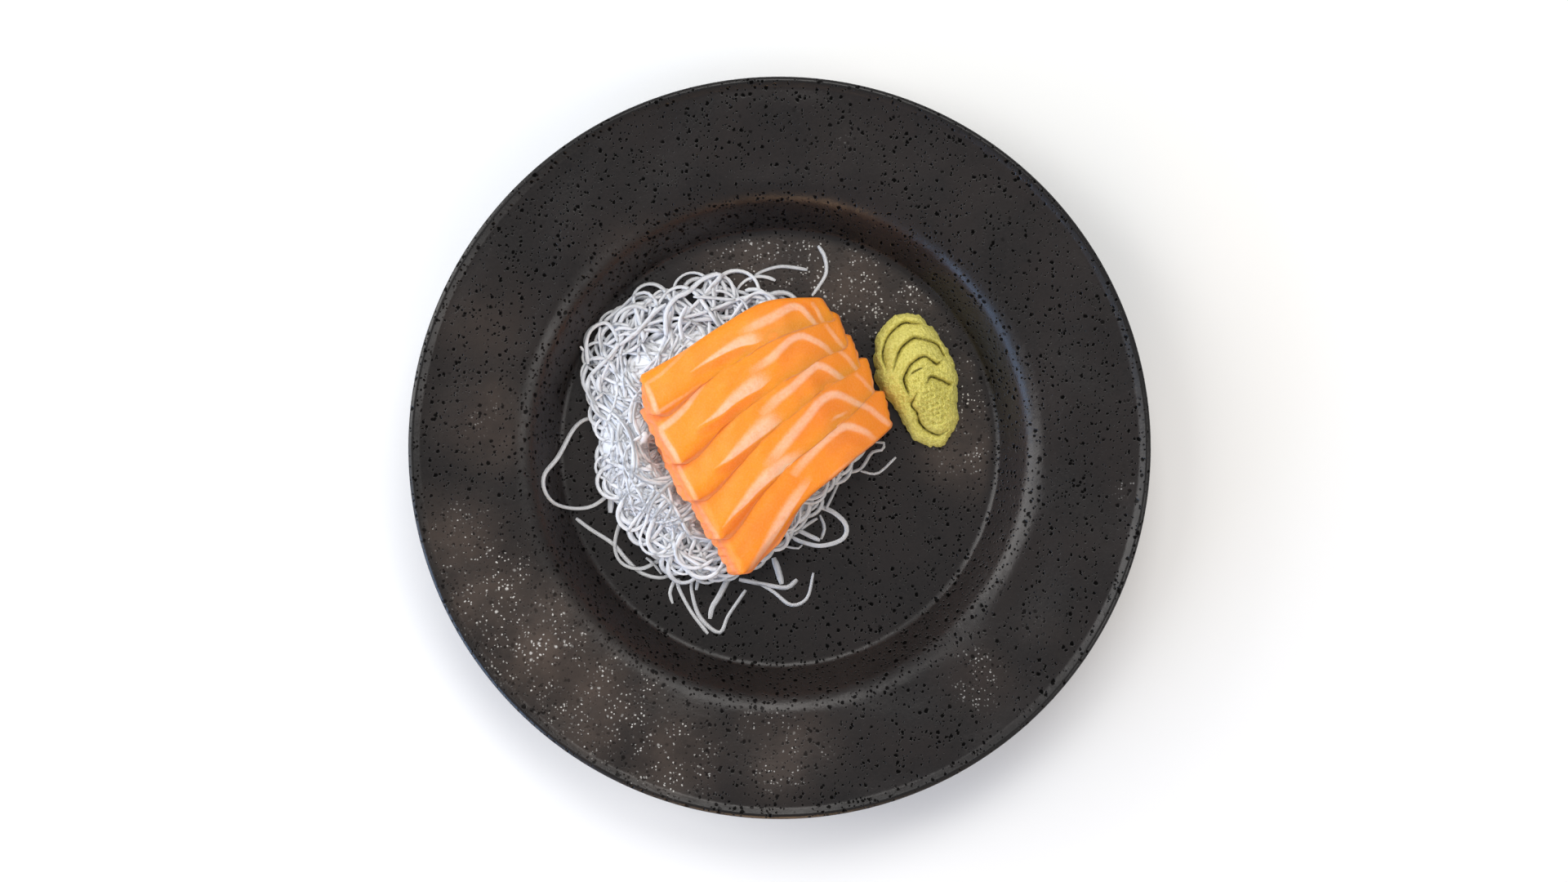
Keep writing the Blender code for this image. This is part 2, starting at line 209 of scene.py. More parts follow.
def turned_faces(rings: int, steps: int) -> Array:
    """Quads and end fans of a closed turned shape, its poles stored after its rings.

    Ring i, step j is point i * steps + j; the faces run round each ring, and a fan of
    triangles joins the first and the last ring to its pole.

    Args:
        rings: Number of rings.
        steps: Points in each ring.

    Returns:
        Faces, four corners per row.
    """
    ring, step = np.meshgrid(np.arange(rings - 1), np.arange(steps), indexing="ij")
    ahead = (step + 1) % steps
    low, high = ring * steps, (ring + 1) * steps
    walls = np.stack([low + step, high + step, high + ahead, low + ahead], axis=-1).reshape(-1, 4)
    step, ahead = np.arange(steps), (np.arange(steps) + 1) % steps
    first, last, end = rings * steps, rings * steps + 1, (rings - 1) * steps
    start_fan = np.stack([np.full(steps, first), step, ahead, ahead], axis=-1)
    end_fan = np.stack([end + step, np.full(steps, last), end + ahead, end + ahead], axis=-1)
    return np.concatenate([walls, start_fan, end_fan])


def shell_lattice(levels: tuple[Array, Array, Array]) -> tuple[Array, Array]:
    """Points and quads of a box's six sides, with lattice lines at the given levels.

    The corner (i, j, k) of the lattice is kept where any of its places is the first or
    the last, and each side is a grid of quads between such corners.

    Args:
        levels: Rising coordinates along the box's three axes.

    Returns:
        Points, one per row, and outward quads.
    """
    outside = np.zeros([len(level) for level in levels], dtype=bool)
    outside[[0, -1]] = True
    outside[:, [0, -1]] = True
    outside[:, :, [0, -1]] = True
    numbers = np.full(outside.shape, -1)
    numbers[outside] = np.arange(outside.sum())
    points = np.stack(np.meshgrid(*levels, indexing="ij"), axis=-1)[outside]
    quads = []
    for axis in range(3):
        layers = np.moveaxis(numbers, axis, 0)
        for side in (0, -1):
            grid = layers[side]
            quad = np.stack([grid[:-1, :-1], grid[1:, :-1], grid[1:, 1:], grid[:-1, 1:]], axis=-1)
            inward = (side == 0) != (axis == 1)
            quads.append(quad.reshape(-1, 4)[:, ::-1] if inward else quad.reshape(-1, 4))
    return points, np.concatenate(quads)


def tubes(paths: list[Array], rolls: list[Array], widths: list[Array], thicknesses: list[Array],
          sides: int) -> tuple[Array, Array]:
    """Flattened tubes with tapered, closed ends along paths, as one set of points and faces.

    Around each path point, side s lies at angle a = 2 pi s / sides: half the width times
    cos a along the path's level normal, turned by the roll, plus half the thickness times
    sin a along the other normal. Both sizes shrink to a point at the ends.

    Args:
        paths: Path points of each tube, in millimetres.
        rolls: Turn of the flat side about the path, in radians, per path point.
        widths: Width per path point.
        thicknesses: Thickness per path point.
        sides: Number of points around each tube.

    Returns:
        Points and faces of all the tubes.
    """
    angle = np.arange(sides) * 2 * math.pi / sides
    all_points, all_faces, offset = [], [], 0
    for path, roll, width, thickness in zip(paths, rolls, widths, thicknesses):
        ahead = np.gradient(path, axis=0)
        ahead /= np.linalg.norm(ahead, axis=1, keepdims=True)
        level = np.stack([-ahead[:, 1], ahead[:, 0], np.zeros(len(path))], axis=1)
        level /= np.maximum(np.linalg.norm(level, axis=1, keepdims=True), 1e-6)
        upright = np.cross(ahead, level)
        turn, lift = np.cos(roll)[:, None], np.sin(roll)[:, None]
        flat, thick = level * turn + upright * lift, upright * turn - level * lift
        ring = (path[:, None] + 0.5 * width[:, None, None] * np.cos(angle)[None, :, None] * flat[:, None]
                + 0.5 * thickness[:, None, None] * np.sin(angle)[None, :, None] * thick[:, None])
        faces = turned_faces(len(path), sides)[:, [0, 3, 2, 1]]
        faces[-2 * sides:, 3] = faces[-2 * sides:, 2]
        ends = np.stack([path[0] - ahead[0] * 0.25, path[-1] + ahead[-1] * 0.25])
        all_points.append(np.concatenate([ring.reshape(-1, 3), ends]))
        all_faces.append(faces + offset)
        offset += ring.shape[0] * sides + 2
    return np.concatenate(all_points), np.concatenate(all_faces)


# ---------------------------------------------------------------- finishes


class Graph:
    """A material's nodes, added and joined by short calls."""

    def __init__(self, name: str) -> None:
        """Start a material whose Principled shader feeds its surface."""
        self.material = bpy.data.materials.new(name)
        self.material.use_nodes = True
        self.tree = self.material.node_tree
        self.shader = self.tree.nodes["Principled BSDF"]
        self.place = self.add("ShaderNodeTexCoord", {}).outputs["Object"]

    def add(self, kind: str, inputs: dict, **settings: object) -> bpy.types.Node:
        """Add a node, set its properties, and join or set its inputs.

        Args:
            kind: The node's type.
            inputs: Input name or number, to a value or to a socket to join.
            **settings: Properties of the node.

        Returns:
            The node.
        """
        node = self.tree.nodes.new(kind)
        for name, value in settings.items():
            setattr(node, name, value)
        for name, value in inputs.items():
            if isinstance(value, bpy.types.NodeSocket):
                self.tree.links.new(value, node.inputs[name])
            else:
                node.inputs[name].default_value = value
        return node

    def attribute(self, name: str) -> bpy.types.NodeSocket:
        """Number stored per point under a name."""
        return self.add("ShaderNodeAttribute", {}, attribute_name=name).outputs["Fac"]

    def noise(self, scale: float, detail: float = 2.0, roughness: float = 0.5) -> bpy.types.NodeSocket:
        """Cloudy noise from 0 to 1, scale cells to the metre."""
        inputs = {"Vector": self.place, "Scale": scale, "Detail": detail, "Roughness": roughness}
        return self.add("ShaderNodeTexNoise", inputs).outputs["Fac"]

    def warped(self, scale: float, amount: float) -> bpy.types.NodeSocket:
        """The piece's place, shifted about by noise, by up to half the amount in millimetres."""
        cloud = self.add("ShaderNodeTexNoise", {"Vector": self.place, "Scale": scale}).outputs["Color"]
        inputs = {0: cloud, 1: (amount * MM,) * 3, 2: self.place}
        return self.add("ShaderNodeVectorMath", inputs, operation="MULTIPLY_ADD").outputs[0]

    def cells(self, scale: float, place: bpy.types.NodeSocket) -> bpy.types.Node:
        """Scattered points, scale to the metre, with the distance to and colour of the nearest."""
        return self.add("ShaderNodeTexVoronoi", {"Vector": place, "Scale": scale})

    def step(self, value: bpy.types.NodeSocket, low: float, high: float) -> bpy.types.NodeSocket:
        """Map a value smoothly to 0 at low and 1 at high, or the other way round."""
        rising = low < high
        inputs = {"Value": value, "From Min": min(low, high), "From Max": max(low, high),
                  "To Min": 0.0 if rising else 1.0, "To Max": 1.0 if rising else 0.0}
        node = self.add("ShaderNodeMapRange", inputs, interpolation_type="SMOOTHSTEP")
        return node.outputs["Result"]

    def calc(self, operation: str, *values: object) -> bpy.types.NodeSocket:
        """Arithmetic on one, two or three values."""
        inputs = dict(enumerate(values))
        return self.add("ShaderNodeMath", inputs, operation=operation).outputs[0]

    def mix(self, share: object, first: object, second: object, blend: str = "MIX") -> bpy.types.NodeSocket:
        """Blend two colours by a share."""
        first, second = (value if isinstance(value, bpy.types.NodeSocket) else (*value, 1.0)
                         for value in (first, second))
        node = self.add("ShaderNodeMix", {0: share, 6: first, 7: second}, data_type="RGBA", blend_type=blend)
        return node.outputs[2]

    def bump(self, height: bpy.types.NodeSocket, distance: float, strength: float = 1.0) -> None:
        """Add relief to the shader: a height of 0 to 1 times a distance in millimetres."""
        normal = self.shader.inputs["Normal"]
        inputs = {"Height": height, "Distance": distance * MM, "Strength": strength}
        if normal.links:
            inputs["Normal"] = normal.links[0].from_socket
        node = self.add("ShaderNodeBump", inputs)
        self.tree.links.new(node.outputs["Normal"], normal)

    def finish(self, colour: object, roughness: object, **values: object) -> bpy.types.Material:
        """Set the shader's colour, roughness and further inputs, and give the material.

        Args:
            colour: Colour, or the socket that gives it.
            roughness: Number, or the socket that gives it.
            **values: Values of further inputs, named with underscores for spaces.

        Returns:
            The material.
        """
        for name, value in (("Base Color", colour), ("Roughness", roughness)):
            if isinstance(value, bpy.types.NodeSocket):
                self.tree.links.new(value, self.shader.inputs[name])
            else:
                self.shader.inputs[name].default_value = (*value, 1.0) if name == "Base Color" else value
        for name, value in values.items():
            self.shader.inputs[name.replace("_", " ").title().replace("Ior", "IOR")].default_value = value
        return self.material


@dataclass(frozen=True)
class StonewareGlaze:
    """Satin charcoal glaze with black pits, pale painted glints, and brown where the glaze is thinner, which is partly
    painted sheen.
    """

    dark: Colour = (0.0055, 0.0040, 0.0036)
    light: Colour = (0.0190, 0.0145, 0.0130)
    thin_glaze_and_painted_sheen: Colour = (0.075, 0.054, 0.042)
    pit: Colour = (0.0012, 0.0010, 0.0009)
    # Colour of the painted glints.
    painted_glint: Colour = (0.52, 0.50, 0.47)
    roughness: float = 0.34

    def material(self) -> bpy.types.Material:
        """Build the glaze from the piece's place and its attributes for thinner glaze with painted sheen, for painted
        glints and for the lip.

        Returns:
            The material.
        """
        graph = Graph("stoneware_glaze")
        thin_glaze_and_painted_sheen = graph.attribute("thin_glaze_and_painted_sheen")
        cloud = graph.step(graph.noise(38, 4, 0.6), 0.35, 0.68)
        grain = graph.step(graph.noise(900, 2, 0.6), 0.3, 0.75)
        body = graph.mix(graph.calc("MULTIPLY", cloud, 0.7), self.dark, self.light)
        body = graph.mix(graph.calc("MULTIPLY", grain, 0.35), body, self.light)
        # Brown of thinner glaze, partly painted sheen where the glaze would reflect the lights.
        patchy = graph.calc("MULTIPLY", thin_glaze_and_painted_sheen, graph.step(graph.noise(60, 4, 0.6), 0.1, 0.8))
        body = graph.mix(patchy, body, self.thin_glaze_and_painted_sheen)
        place = graph.warped(700, 1.1)
        pits = self.spots(graph, place, 270, 0.13, 0.27, 0.42)
        pits = graph.calc("MAXIMUM", pits, self.spots(graph, place, 440, 0.17, 0.32, 0.35))
        pits = graph.calc("MAXIMUM", pits, self.spots(graph, place, 820, 0.18, 0.38, 0.50))
        glint_zone = graph.attribute("painted_glints")
        # Painted glints take the place of pits in their zones.
        pits = graph.calc("MULTIPLY", pits, graph.calc("MULTIPLY_ADD", glint_zone, -0.7, 1.0))
        body = graph.mix(pits, body, self.pit)
        # Painted glints: pale spots in the zones where the glaze would catch the lights.
        shine = graph.calc("MULTIPLY", glint_zone, graph.step(graph.noise(120, 3, 0.6), 0.30, 0.70))
        large = graph.calc("MULTIPLY", self.spots(graph, place, 350, 0.10, 0.27, 0.58), graph.step(shine, 0.28, 0.7))
        small = graph.calc("MULTIPLY", self.spots(graph, place, 1000, 0.18, 0.40, 0.60), graph.step(shine, 0.08, 0.50))
        body = graph.mix(graph.calc("MAXIMUM", large, small), body, self.painted_glint)
        body = graph.mix(graph.calc("MULTIPLY", graph.attribute("lip"), 0.6), body, self.pit)
        graph.bump(graph.calc("MULTIPLY", pits, -1.0), 0.10)
        graph.bump(graph.noise(160, 3, 0.55), 0.20)
        graph.bump(graph.noise(1100, 2, 0.6), 0.04)
        rough = graph.calc("MULTIPLY_ADD", cloud, -0.08, self.roughness + 0.04)
        gloss = graph.calc("MULTIPLY_ADD", pits, -0.36, 0.40)
        graph.tree.links.new(gloss, graph.shader.inputs["Specular IOR Level"])
        return graph.finish(body, rough)

    def spots(self, graph: Graph, place: bpy.types.NodeSocket, scale: float, core: float, edge: float,
              kept: float) -> bpy.types.NodeSocket:
        """Scattered spots: 1 inside core, 0 past edge, in some of the cells.

        Args:
            graph: The material's nodes.
            place: Where the spots are looked up.
            scale: Cells to the metre.
            core: Radius of a spot's full part, in cells.
            edge: Radius at which it ends.
            kept: Share of the cells that have no spot.

        Returns:
            The spots' strength.
        """
        cells = graph.cells(scale, place)
        chance = graph.add("ShaderNodeSeparateColor", {0: cells.outputs["Color"]}).outputs[0]
        near = graph.step(cells.outputs["Distance"], edge, core)
        return graph.calc("MULTIPLY", near, graph.step(chance, kept, kept + 0.1))


@dataclass(frozen=True)
class SalmonFlesh:
    """Moist raw salmon: orange flesh, peach fatty lines, painted edge highlights in the same peach, painted shade, and
    redder cut sides.
    """

    light: Colour = (0.93, 0.295, 0.005)
    deep: Colour = (0.90, 0.240, 0.018)
    fat_and_painted_highlight: Colour = (0.96, 0.505, 0.310)
    shade: Colour = (0.82, 0.175, 0.010)
    side: Colour = (0.82, 0.250, 0.105)

    def material(self) -> bpy.types.Material:
        """Build the flesh from its attributes for reach, fatty lines with painted edge highlights, painted shade, and
        cut sides.

        Returns:
            The material.
        """
        graph = Graph("salmon_flesh")
        flesh = graph.mix(graph.attribute("reach"), self.light, self.deep)
        cloud = graph.step(graph.noise(120, 3, 0.55), 0.3, 0.75)
        flesh = graph.mix(graph.calc("MULTIPLY", cloud, 0.25), flesh, self.deep)
        flesh = graph.mix(graph.attribute("shade"), flesh, self.shade)
        flesh = graph.mix(graph.attribute("side"), flesh, self.side)
        grain = graph.noise(1500, 2, 0.7)
        fat_and_painted_highlight = graph.attribute("fat_and_painted_highlight")
        rim = graph.calc("MULTIPLY_ADD", graph.calc("SUBTRACT", grain, 0.5), 0.22, fat_and_painted_highlight)
        flesh = graph.mix(graph.step(rim, 0.05, 1.0), flesh, self.fat_and_painted_highlight)
        speck = graph.step(grain, 0.35, 0.7)
        flesh = graph.mix(graph.calc("MULTIPLY", speck, 0.10), flesh, self.fat_and_painted_highlight)
        fibre = graph.step(graph.noise(650, 4, 0.7), 0.38, 0.70)
        flesh = graph.mix(graph.calc("MULTIPLY", fibre, 0.30), flesh, self.deep)
        graph.bump(grain, 0.13)
        graph.bump(graph.noise(420, 3, 0.6), 0.10)
        return graph.finish(flesh, 0.45, subsurface_weight=0.30, subsurface_radius=(0.0030, 0.0012, 0.0004),
                            subsurface_scale=1.0, specular_ior_level=0.28, coat_weight=0.04, coat_roughness=0.3)


@dataclass(frozen=True)
class RadishFlesh:
    """Raw radish: moist, white and a little translucent, greyer where a shred lies alone."""

    white: Colour = (0.88, 0.90, 0.965)
    grey: Colour = (0.34, 0.33, 0.33)

    def material(self) -> bpy.types.Material:
        """Build the radish from the attribute "alone".

        Returns:
            The material.
        """
        graph = Graph("radish_flesh")
        cloud = graph.step(graph.noise(300, 3, 0.6), 0.3, 0.72)
        alone = graph.calc("MULTIPLY_ADD", cloud, 0.16, graph.attribute("alone"))
        flesh = graph.mix(alone, self.white, self.grey)
        graph.bump(graph.noise(700, 3, 0.6), 0.07)
        return graph.finish(flesh, 0.50, subsurface_weight=0.70, subsurface_radius=(0.0030, 0.0031, 0.0034),
                            subsurface_scale=1.0, specular_ior_level=0.25)


@dataclass(frozen=True)
class WasabiPaste:
    """Matte, finely grated green paste, with painted shade in its grooves and its hollow."""

    light: Colour = (0.70, 0.630, 0.170)
    dark: Colour = (0.53, 0.470, 0.095)
    # Colour of the painted shade in the grooves and the hollow.
    groove: Colour = (0.13, 0.090, 0.014)

    def material(self) -> bpy.types.Material:
        """Build the paste from the attributes "groove" and "rough".

        Returns:
            The material.
        """
        graph = Graph("wasabi_paste")
        crumb = graph.cells(1150, graph.warped(900, 0.9)).outputs["Distance"]
        grain = graph.calc("SUBTRACT", graph.noise(1500, 3, 0.65), graph.calc("MULTIPLY", crumb, 0.6))
        paste = graph.mix(graph.step(grain, -0.10, 0.36), self.dark, self.light)
        # Painted shade in the grooves and the hollow.
        paste = graph.mix(graph.calc("MULTIPLY", graph.attribute("groove"), 0.9), paste, self.groove)
        crumbs = graph.calc("MULTIPLY", graph.noise(520, 3, 0.6), graph.attribute("rough"))
        graph.bump(grain, 0.34)
        graph.bump(crumbs, 0.60)
        return graph.finish(paste, 0.65, subsurface_weight=0.10, subsurface_radius=(0.001, 0.001, 0.0004),
                            subsurface_scale=1.0, specular_ior_level=0.3)


@dataclass(frozen=True)
class FloorPaint:
    """Plain pale floor."""

    colour: Colour = (0.88, 0.88, 0.87)

    def material(self) -> bpy.types.Material:
        """Build the even, dull paint."""
        return Graph("pale_floor").finish(self.colour, 0.8)


# ---------------------------------------------------------------- plate


@dataclass(frozen=True)
class GlazeZone:
    """Round patch of thinner glaze with painted sheen, of painted glints, or both, fading out over its rim."""

    x: float
    y: float
    radius: float
    thin_glaze_and_painted_sheen: float
    painted_glints: float


@dataclass
class Plate:
    """Turned stoneware plate: flat well, steep wall, wide hand-dimpled brim and foot ring."""

    radius: float = 125.0
    floor_z: float = 6.5
    well_radius: float = 75.5
    wall_top: tuple[float, float] = (86.5, 20.5)
    brim_outer: tuple[float, float] = (121.0, 25.4)
    lip_top: tuple[float, float] = (123.3, 26.9)
    dimple: float = 0.65
    steps: int = 440
    spacing: float = 2.2
    # Patches of thinner glaze with painted sheen, and of painted glints.
    zones: tuple[GlazeZone, ...] = (
        GlazeZone(-80, -66, 26, 1.0, 0.9), GlazeZone(-108, -32, 20, 0.7, 0.5), GlazeZone(-98, -52, 24, 0.8, 0.8),
        GlazeZone(-60, -86, 24, 0.9, 1.0), GlazeZone(-38, -104, 22, 0.7, 0.8), GlazeZone(0, -101, 20, 0.65, 0.55),
        GlazeZone(67, -78, 14, 0.25, 0.5), GlazeZone(88, -61, 8, 0.2, 0.3), GlazeZone(117, -14, 8, 0.15, 0.4),
        GlazeZone(18, 101, 14, 0.1, 0.2), GlazeZone(-98, 10, 20, 0.6, 0.25), GlazeZone(-100, 40, 18, 0.35, 0.05),
        GlazeZone(22, 60, 26, 0.75, 1.0), GlazeZone(46, 52, 22, 0.65, 0.95), GlazeZone(-8, 66, 24, 0.80, 0.7),
        GlazeZone(66, 22, 16, 0.60, 0.7), GlazeZone(66, 2, 20, 0.95, 0.45), GlazeZone(-46, 60, 18, 0.45, 0.1),
    )

    def corners(self) -> list[tuple[float, float, float]]:
        """Corners of the section from the well's middle to the underside's middle.

        Returns:
            Radius, height and fillet radius of each.
        """
        return [
            (0.0, self.floor_z, 0.0), (self.well_radius, self.floor_z, 3.6), (*self.wall_top, 13.0),
            (*self.brim_outer, 2.5), (*self.lip_top, 1.2), (self.radius, 26.0, 1.0),
            (self.radius - 0.9, 22.9, 1.6), (89.0, 16.0, 9.0), (79.2, 4.0, 3.0), (76.5, 0.0, 0.8),
            (71.5, 0.0, 0.8), (69.9, 2.6, 0.9), (0.0, 2.6, 0.0),
        ]

    def section(self) -> Array:
        """Section line, its corners rounded by arcs and its runs cut to even steps.

        The arc at a corner touches both runs at the fillet radius over the tangent of
        half the corner's angle, and turns through the rest of a half turn.

        Returns:
            Radius and height of each point.
        """
        corners = self.corners()
        line = [np.array(corners[0][:2])]
        for before, here, after in zip(corners, corners[1:], corners[2:]):
            corner = np.array(here[:2])
            back, ahead = np.array(before[:2]) - corner, np.array(after[:2]) - corner
            back, ahead = back / np.linalg.norm(back), ahead / np.linalg.norm(ahead)
            half = 0.5 * math.acos(float(back @ ahead))
            centre = corner + (back + ahead) / np.linalg.norm(back + ahead) * here[2] / math.sin(half)
            start = corner + back * here[2] / math.tan(half) - centre
            end = corner + ahead * here[2] / math.tan(half) - centre
            sweep = math.atan2(start[0] * end[1] - start[1] * end[0], float(start @ end))
            turn = np.linspace(0, sweep, 10)[:, None]
            sideways = np.array([-start[1], start[0]])
            line.extend(centre + start * np.cos(turn) + sideways * np.sin(turn))
        line.append(np.array(corners[-1][:2]))
        line = np.array(line)
        runs = [np.linspace(a, b, max(int(np.linalg.norm(b - a) / self.spacing), 1), endpoint=False)
                for a, b in zip(line, line[1:])]
        return np.concatenate([*runs, line[-1:]])

    def surface_z(self, radius: Array) -> Array:
        """Height of the plate's upper side at a radius."""
        upper = self.section()
        upper = upper[:np.argmax(upper[:, 1]) + 1]
        return np.interp(radius, upper[:, 0], upper[:, 1])

    def dimples(self, radius: Array, angle: Array) -> Array:
        """Soft dimples of the brim: crossed waves round and along it, gone at its edges."""
        band = smooth_step(88, 97, radius) * (1 - smooth_step(115, 122, radius))
        wave = np.sin(9 * angle + 0.6 * np.sin(2 * angle)) * np.cos(radius / 8.5 + 1.7 * np.sin(3 * angle))
        swell = soft_noise(radius * np.cos(angle), radius * np.sin(angle), 34, 3)
        return self.dimple * band * (wave + 0.5 * swell)

    def zone_strength(self, x: Array, y: Array, kind: str) -> Array:
        """Strongest of the zones at each point, each fading outward within the well or the brim."""
        strength, radius = np.zeros(x.shape), np.hypot(x, y)
        well, brim = 1 - smooth_step(71, 75, radius), smooth_step(82, 92, radius)
        for zone in self.zones:
            near = 1 - smooth_step(0.1, 1.35, np.hypot(x - zone.x, y - zone.y) / zone.radius)
            part = well if math.hypot(zone.x, zone.y) < self.well_radius else brim
            strength = np.maximum(strength, near * part * getattr(zone, kind))
        return strength

    def build(self, glaze: bpy.types.Material) -> bpy.types.Object:
        """Turn the section into the plate: point (r, z) goes to (r cos a, r sin a, z + dimple).

        Args:
            glaze: Its finish.

        Returns:
            The plate.
        """
        section = self.section()[1:-1]
        radius, angle = np.meshgrid(section[:, 0], np.arange(self.steps) * 2 * math.pi / self.steps, indexing="ij")
        top = np.arange(len(section))[:, None] <= np.argmax(section[:, 1])
        height = section[:, 1:] + self.dimples(radius, angle) * np.where(top, 1.0, 0.6)
        x, y = radius * np.cos(angle), radius * np.sin(angle)
        poles = [(0, 0, self.floor_z), (0, 0, 2.6)]
        points = np.concatenate([np.stack([x, y, height], axis=-1).reshape(-1, 3), poles])
        piece = make_mesh("plate_glazed", points, turned_faces(len(section), self.steps), glaze)
        upper = smooth_step(-0.5, 0.5, top * 1.0 + 0.0 * x)
        # Thinner glaze with painted sheen, and painted glints, on the upper side only.
        glaze_and_painted_light = {kind: self.zone_strength(x, y, kind) * upper for kind in ("thin_glaze_and_painted_sheen", "painted_glints")}
        glaze_and_painted_light["lip"] = smooth_step(self.brim_outer[0], self.lip_top[0], radius)
        for kind, values in glaze_and_painted_light.items():
            add_attribute(piece, kind, np.concatenate([values.ravel(), [0.0, 0.0]]))
        finish_piece(piece, "stoneware", "plate")
        return piece


# ---------------------------------------------------------------- salmon


@dataclass(frozen=True)
class Streak:
    """Band of fatty tissue, painted highlight or painted shade on the fish. Each entry of line is x,
    y, width and strength there, in plan. A one-sided band starts sharply at its line and fades
    to the left of it; a two-sided one is fainter and fades on both sides of its line."""

    line: tuple[tuple[float, float, float, float], ...]
    both: bool = True

    def strength(self, plan: Array) -> Array:
        """Strength at plan points, from their distance across the nearest part of the line.

        Args:
            plan: Points, one per row.

        Returns:
            Strengths from 0 to 1.
        """
        line = along_route(np.array(self.line), 0.5)
        ahead = np.gradient(line[:, :2], axis=0)
        ahead /= np.linalg.norm(ahead, axis=1, keepdims=True)
        low, high = line[:, :2].min(0) - 9, line[:, :2].max(0) + 9
        strength = np.zeros(len(plan))
        near = np.flatnonzero(((plan > low) & (plan < high)).all(axis=1))
        away = plan[near, None] - line[None, :, :2]
        closest = np.argmin((away**2).sum(-1), axis=1)
        offset, way = away[np.arange(len(near)), closest], ahead[closest]
        across = way[:, 0] * offset[:, 1] - way[:, 1] * offset[:, 0]
        overrun = np.abs((way * offset).sum(-1))
        if self.both:
            profile = 0.90 * (1 - smooth_step(0.15, 0.75, np.abs(across) / line[closest, 2]))
        else:
            fall = 1 - smooth_step(0.35, 1.0, across / line[closest, 2])
            profile = 0.92 * smooth_step(-0.35, 0.35, across) * fall
        strength[near] = profile * (1 - smooth_step(0.2, 1.8, overrun)) * line[closest, 3]
        return strength


@dataclass(frozen=True)
class SliceForm:
    """Where one slice lies in the fan, how its ends stand out, its fatty lines with painted edge highlights, and its
    painted shade.
    """

    shares: tuple[float, ...]
    edge_z: float
    edge: tuple[float, float]
    width: tuple[float, float] | None
    start: float
    tooth: float
    fat_and_painted_highlight: tuple[Streak, ...]
    shade: tuple[Streak, ...]


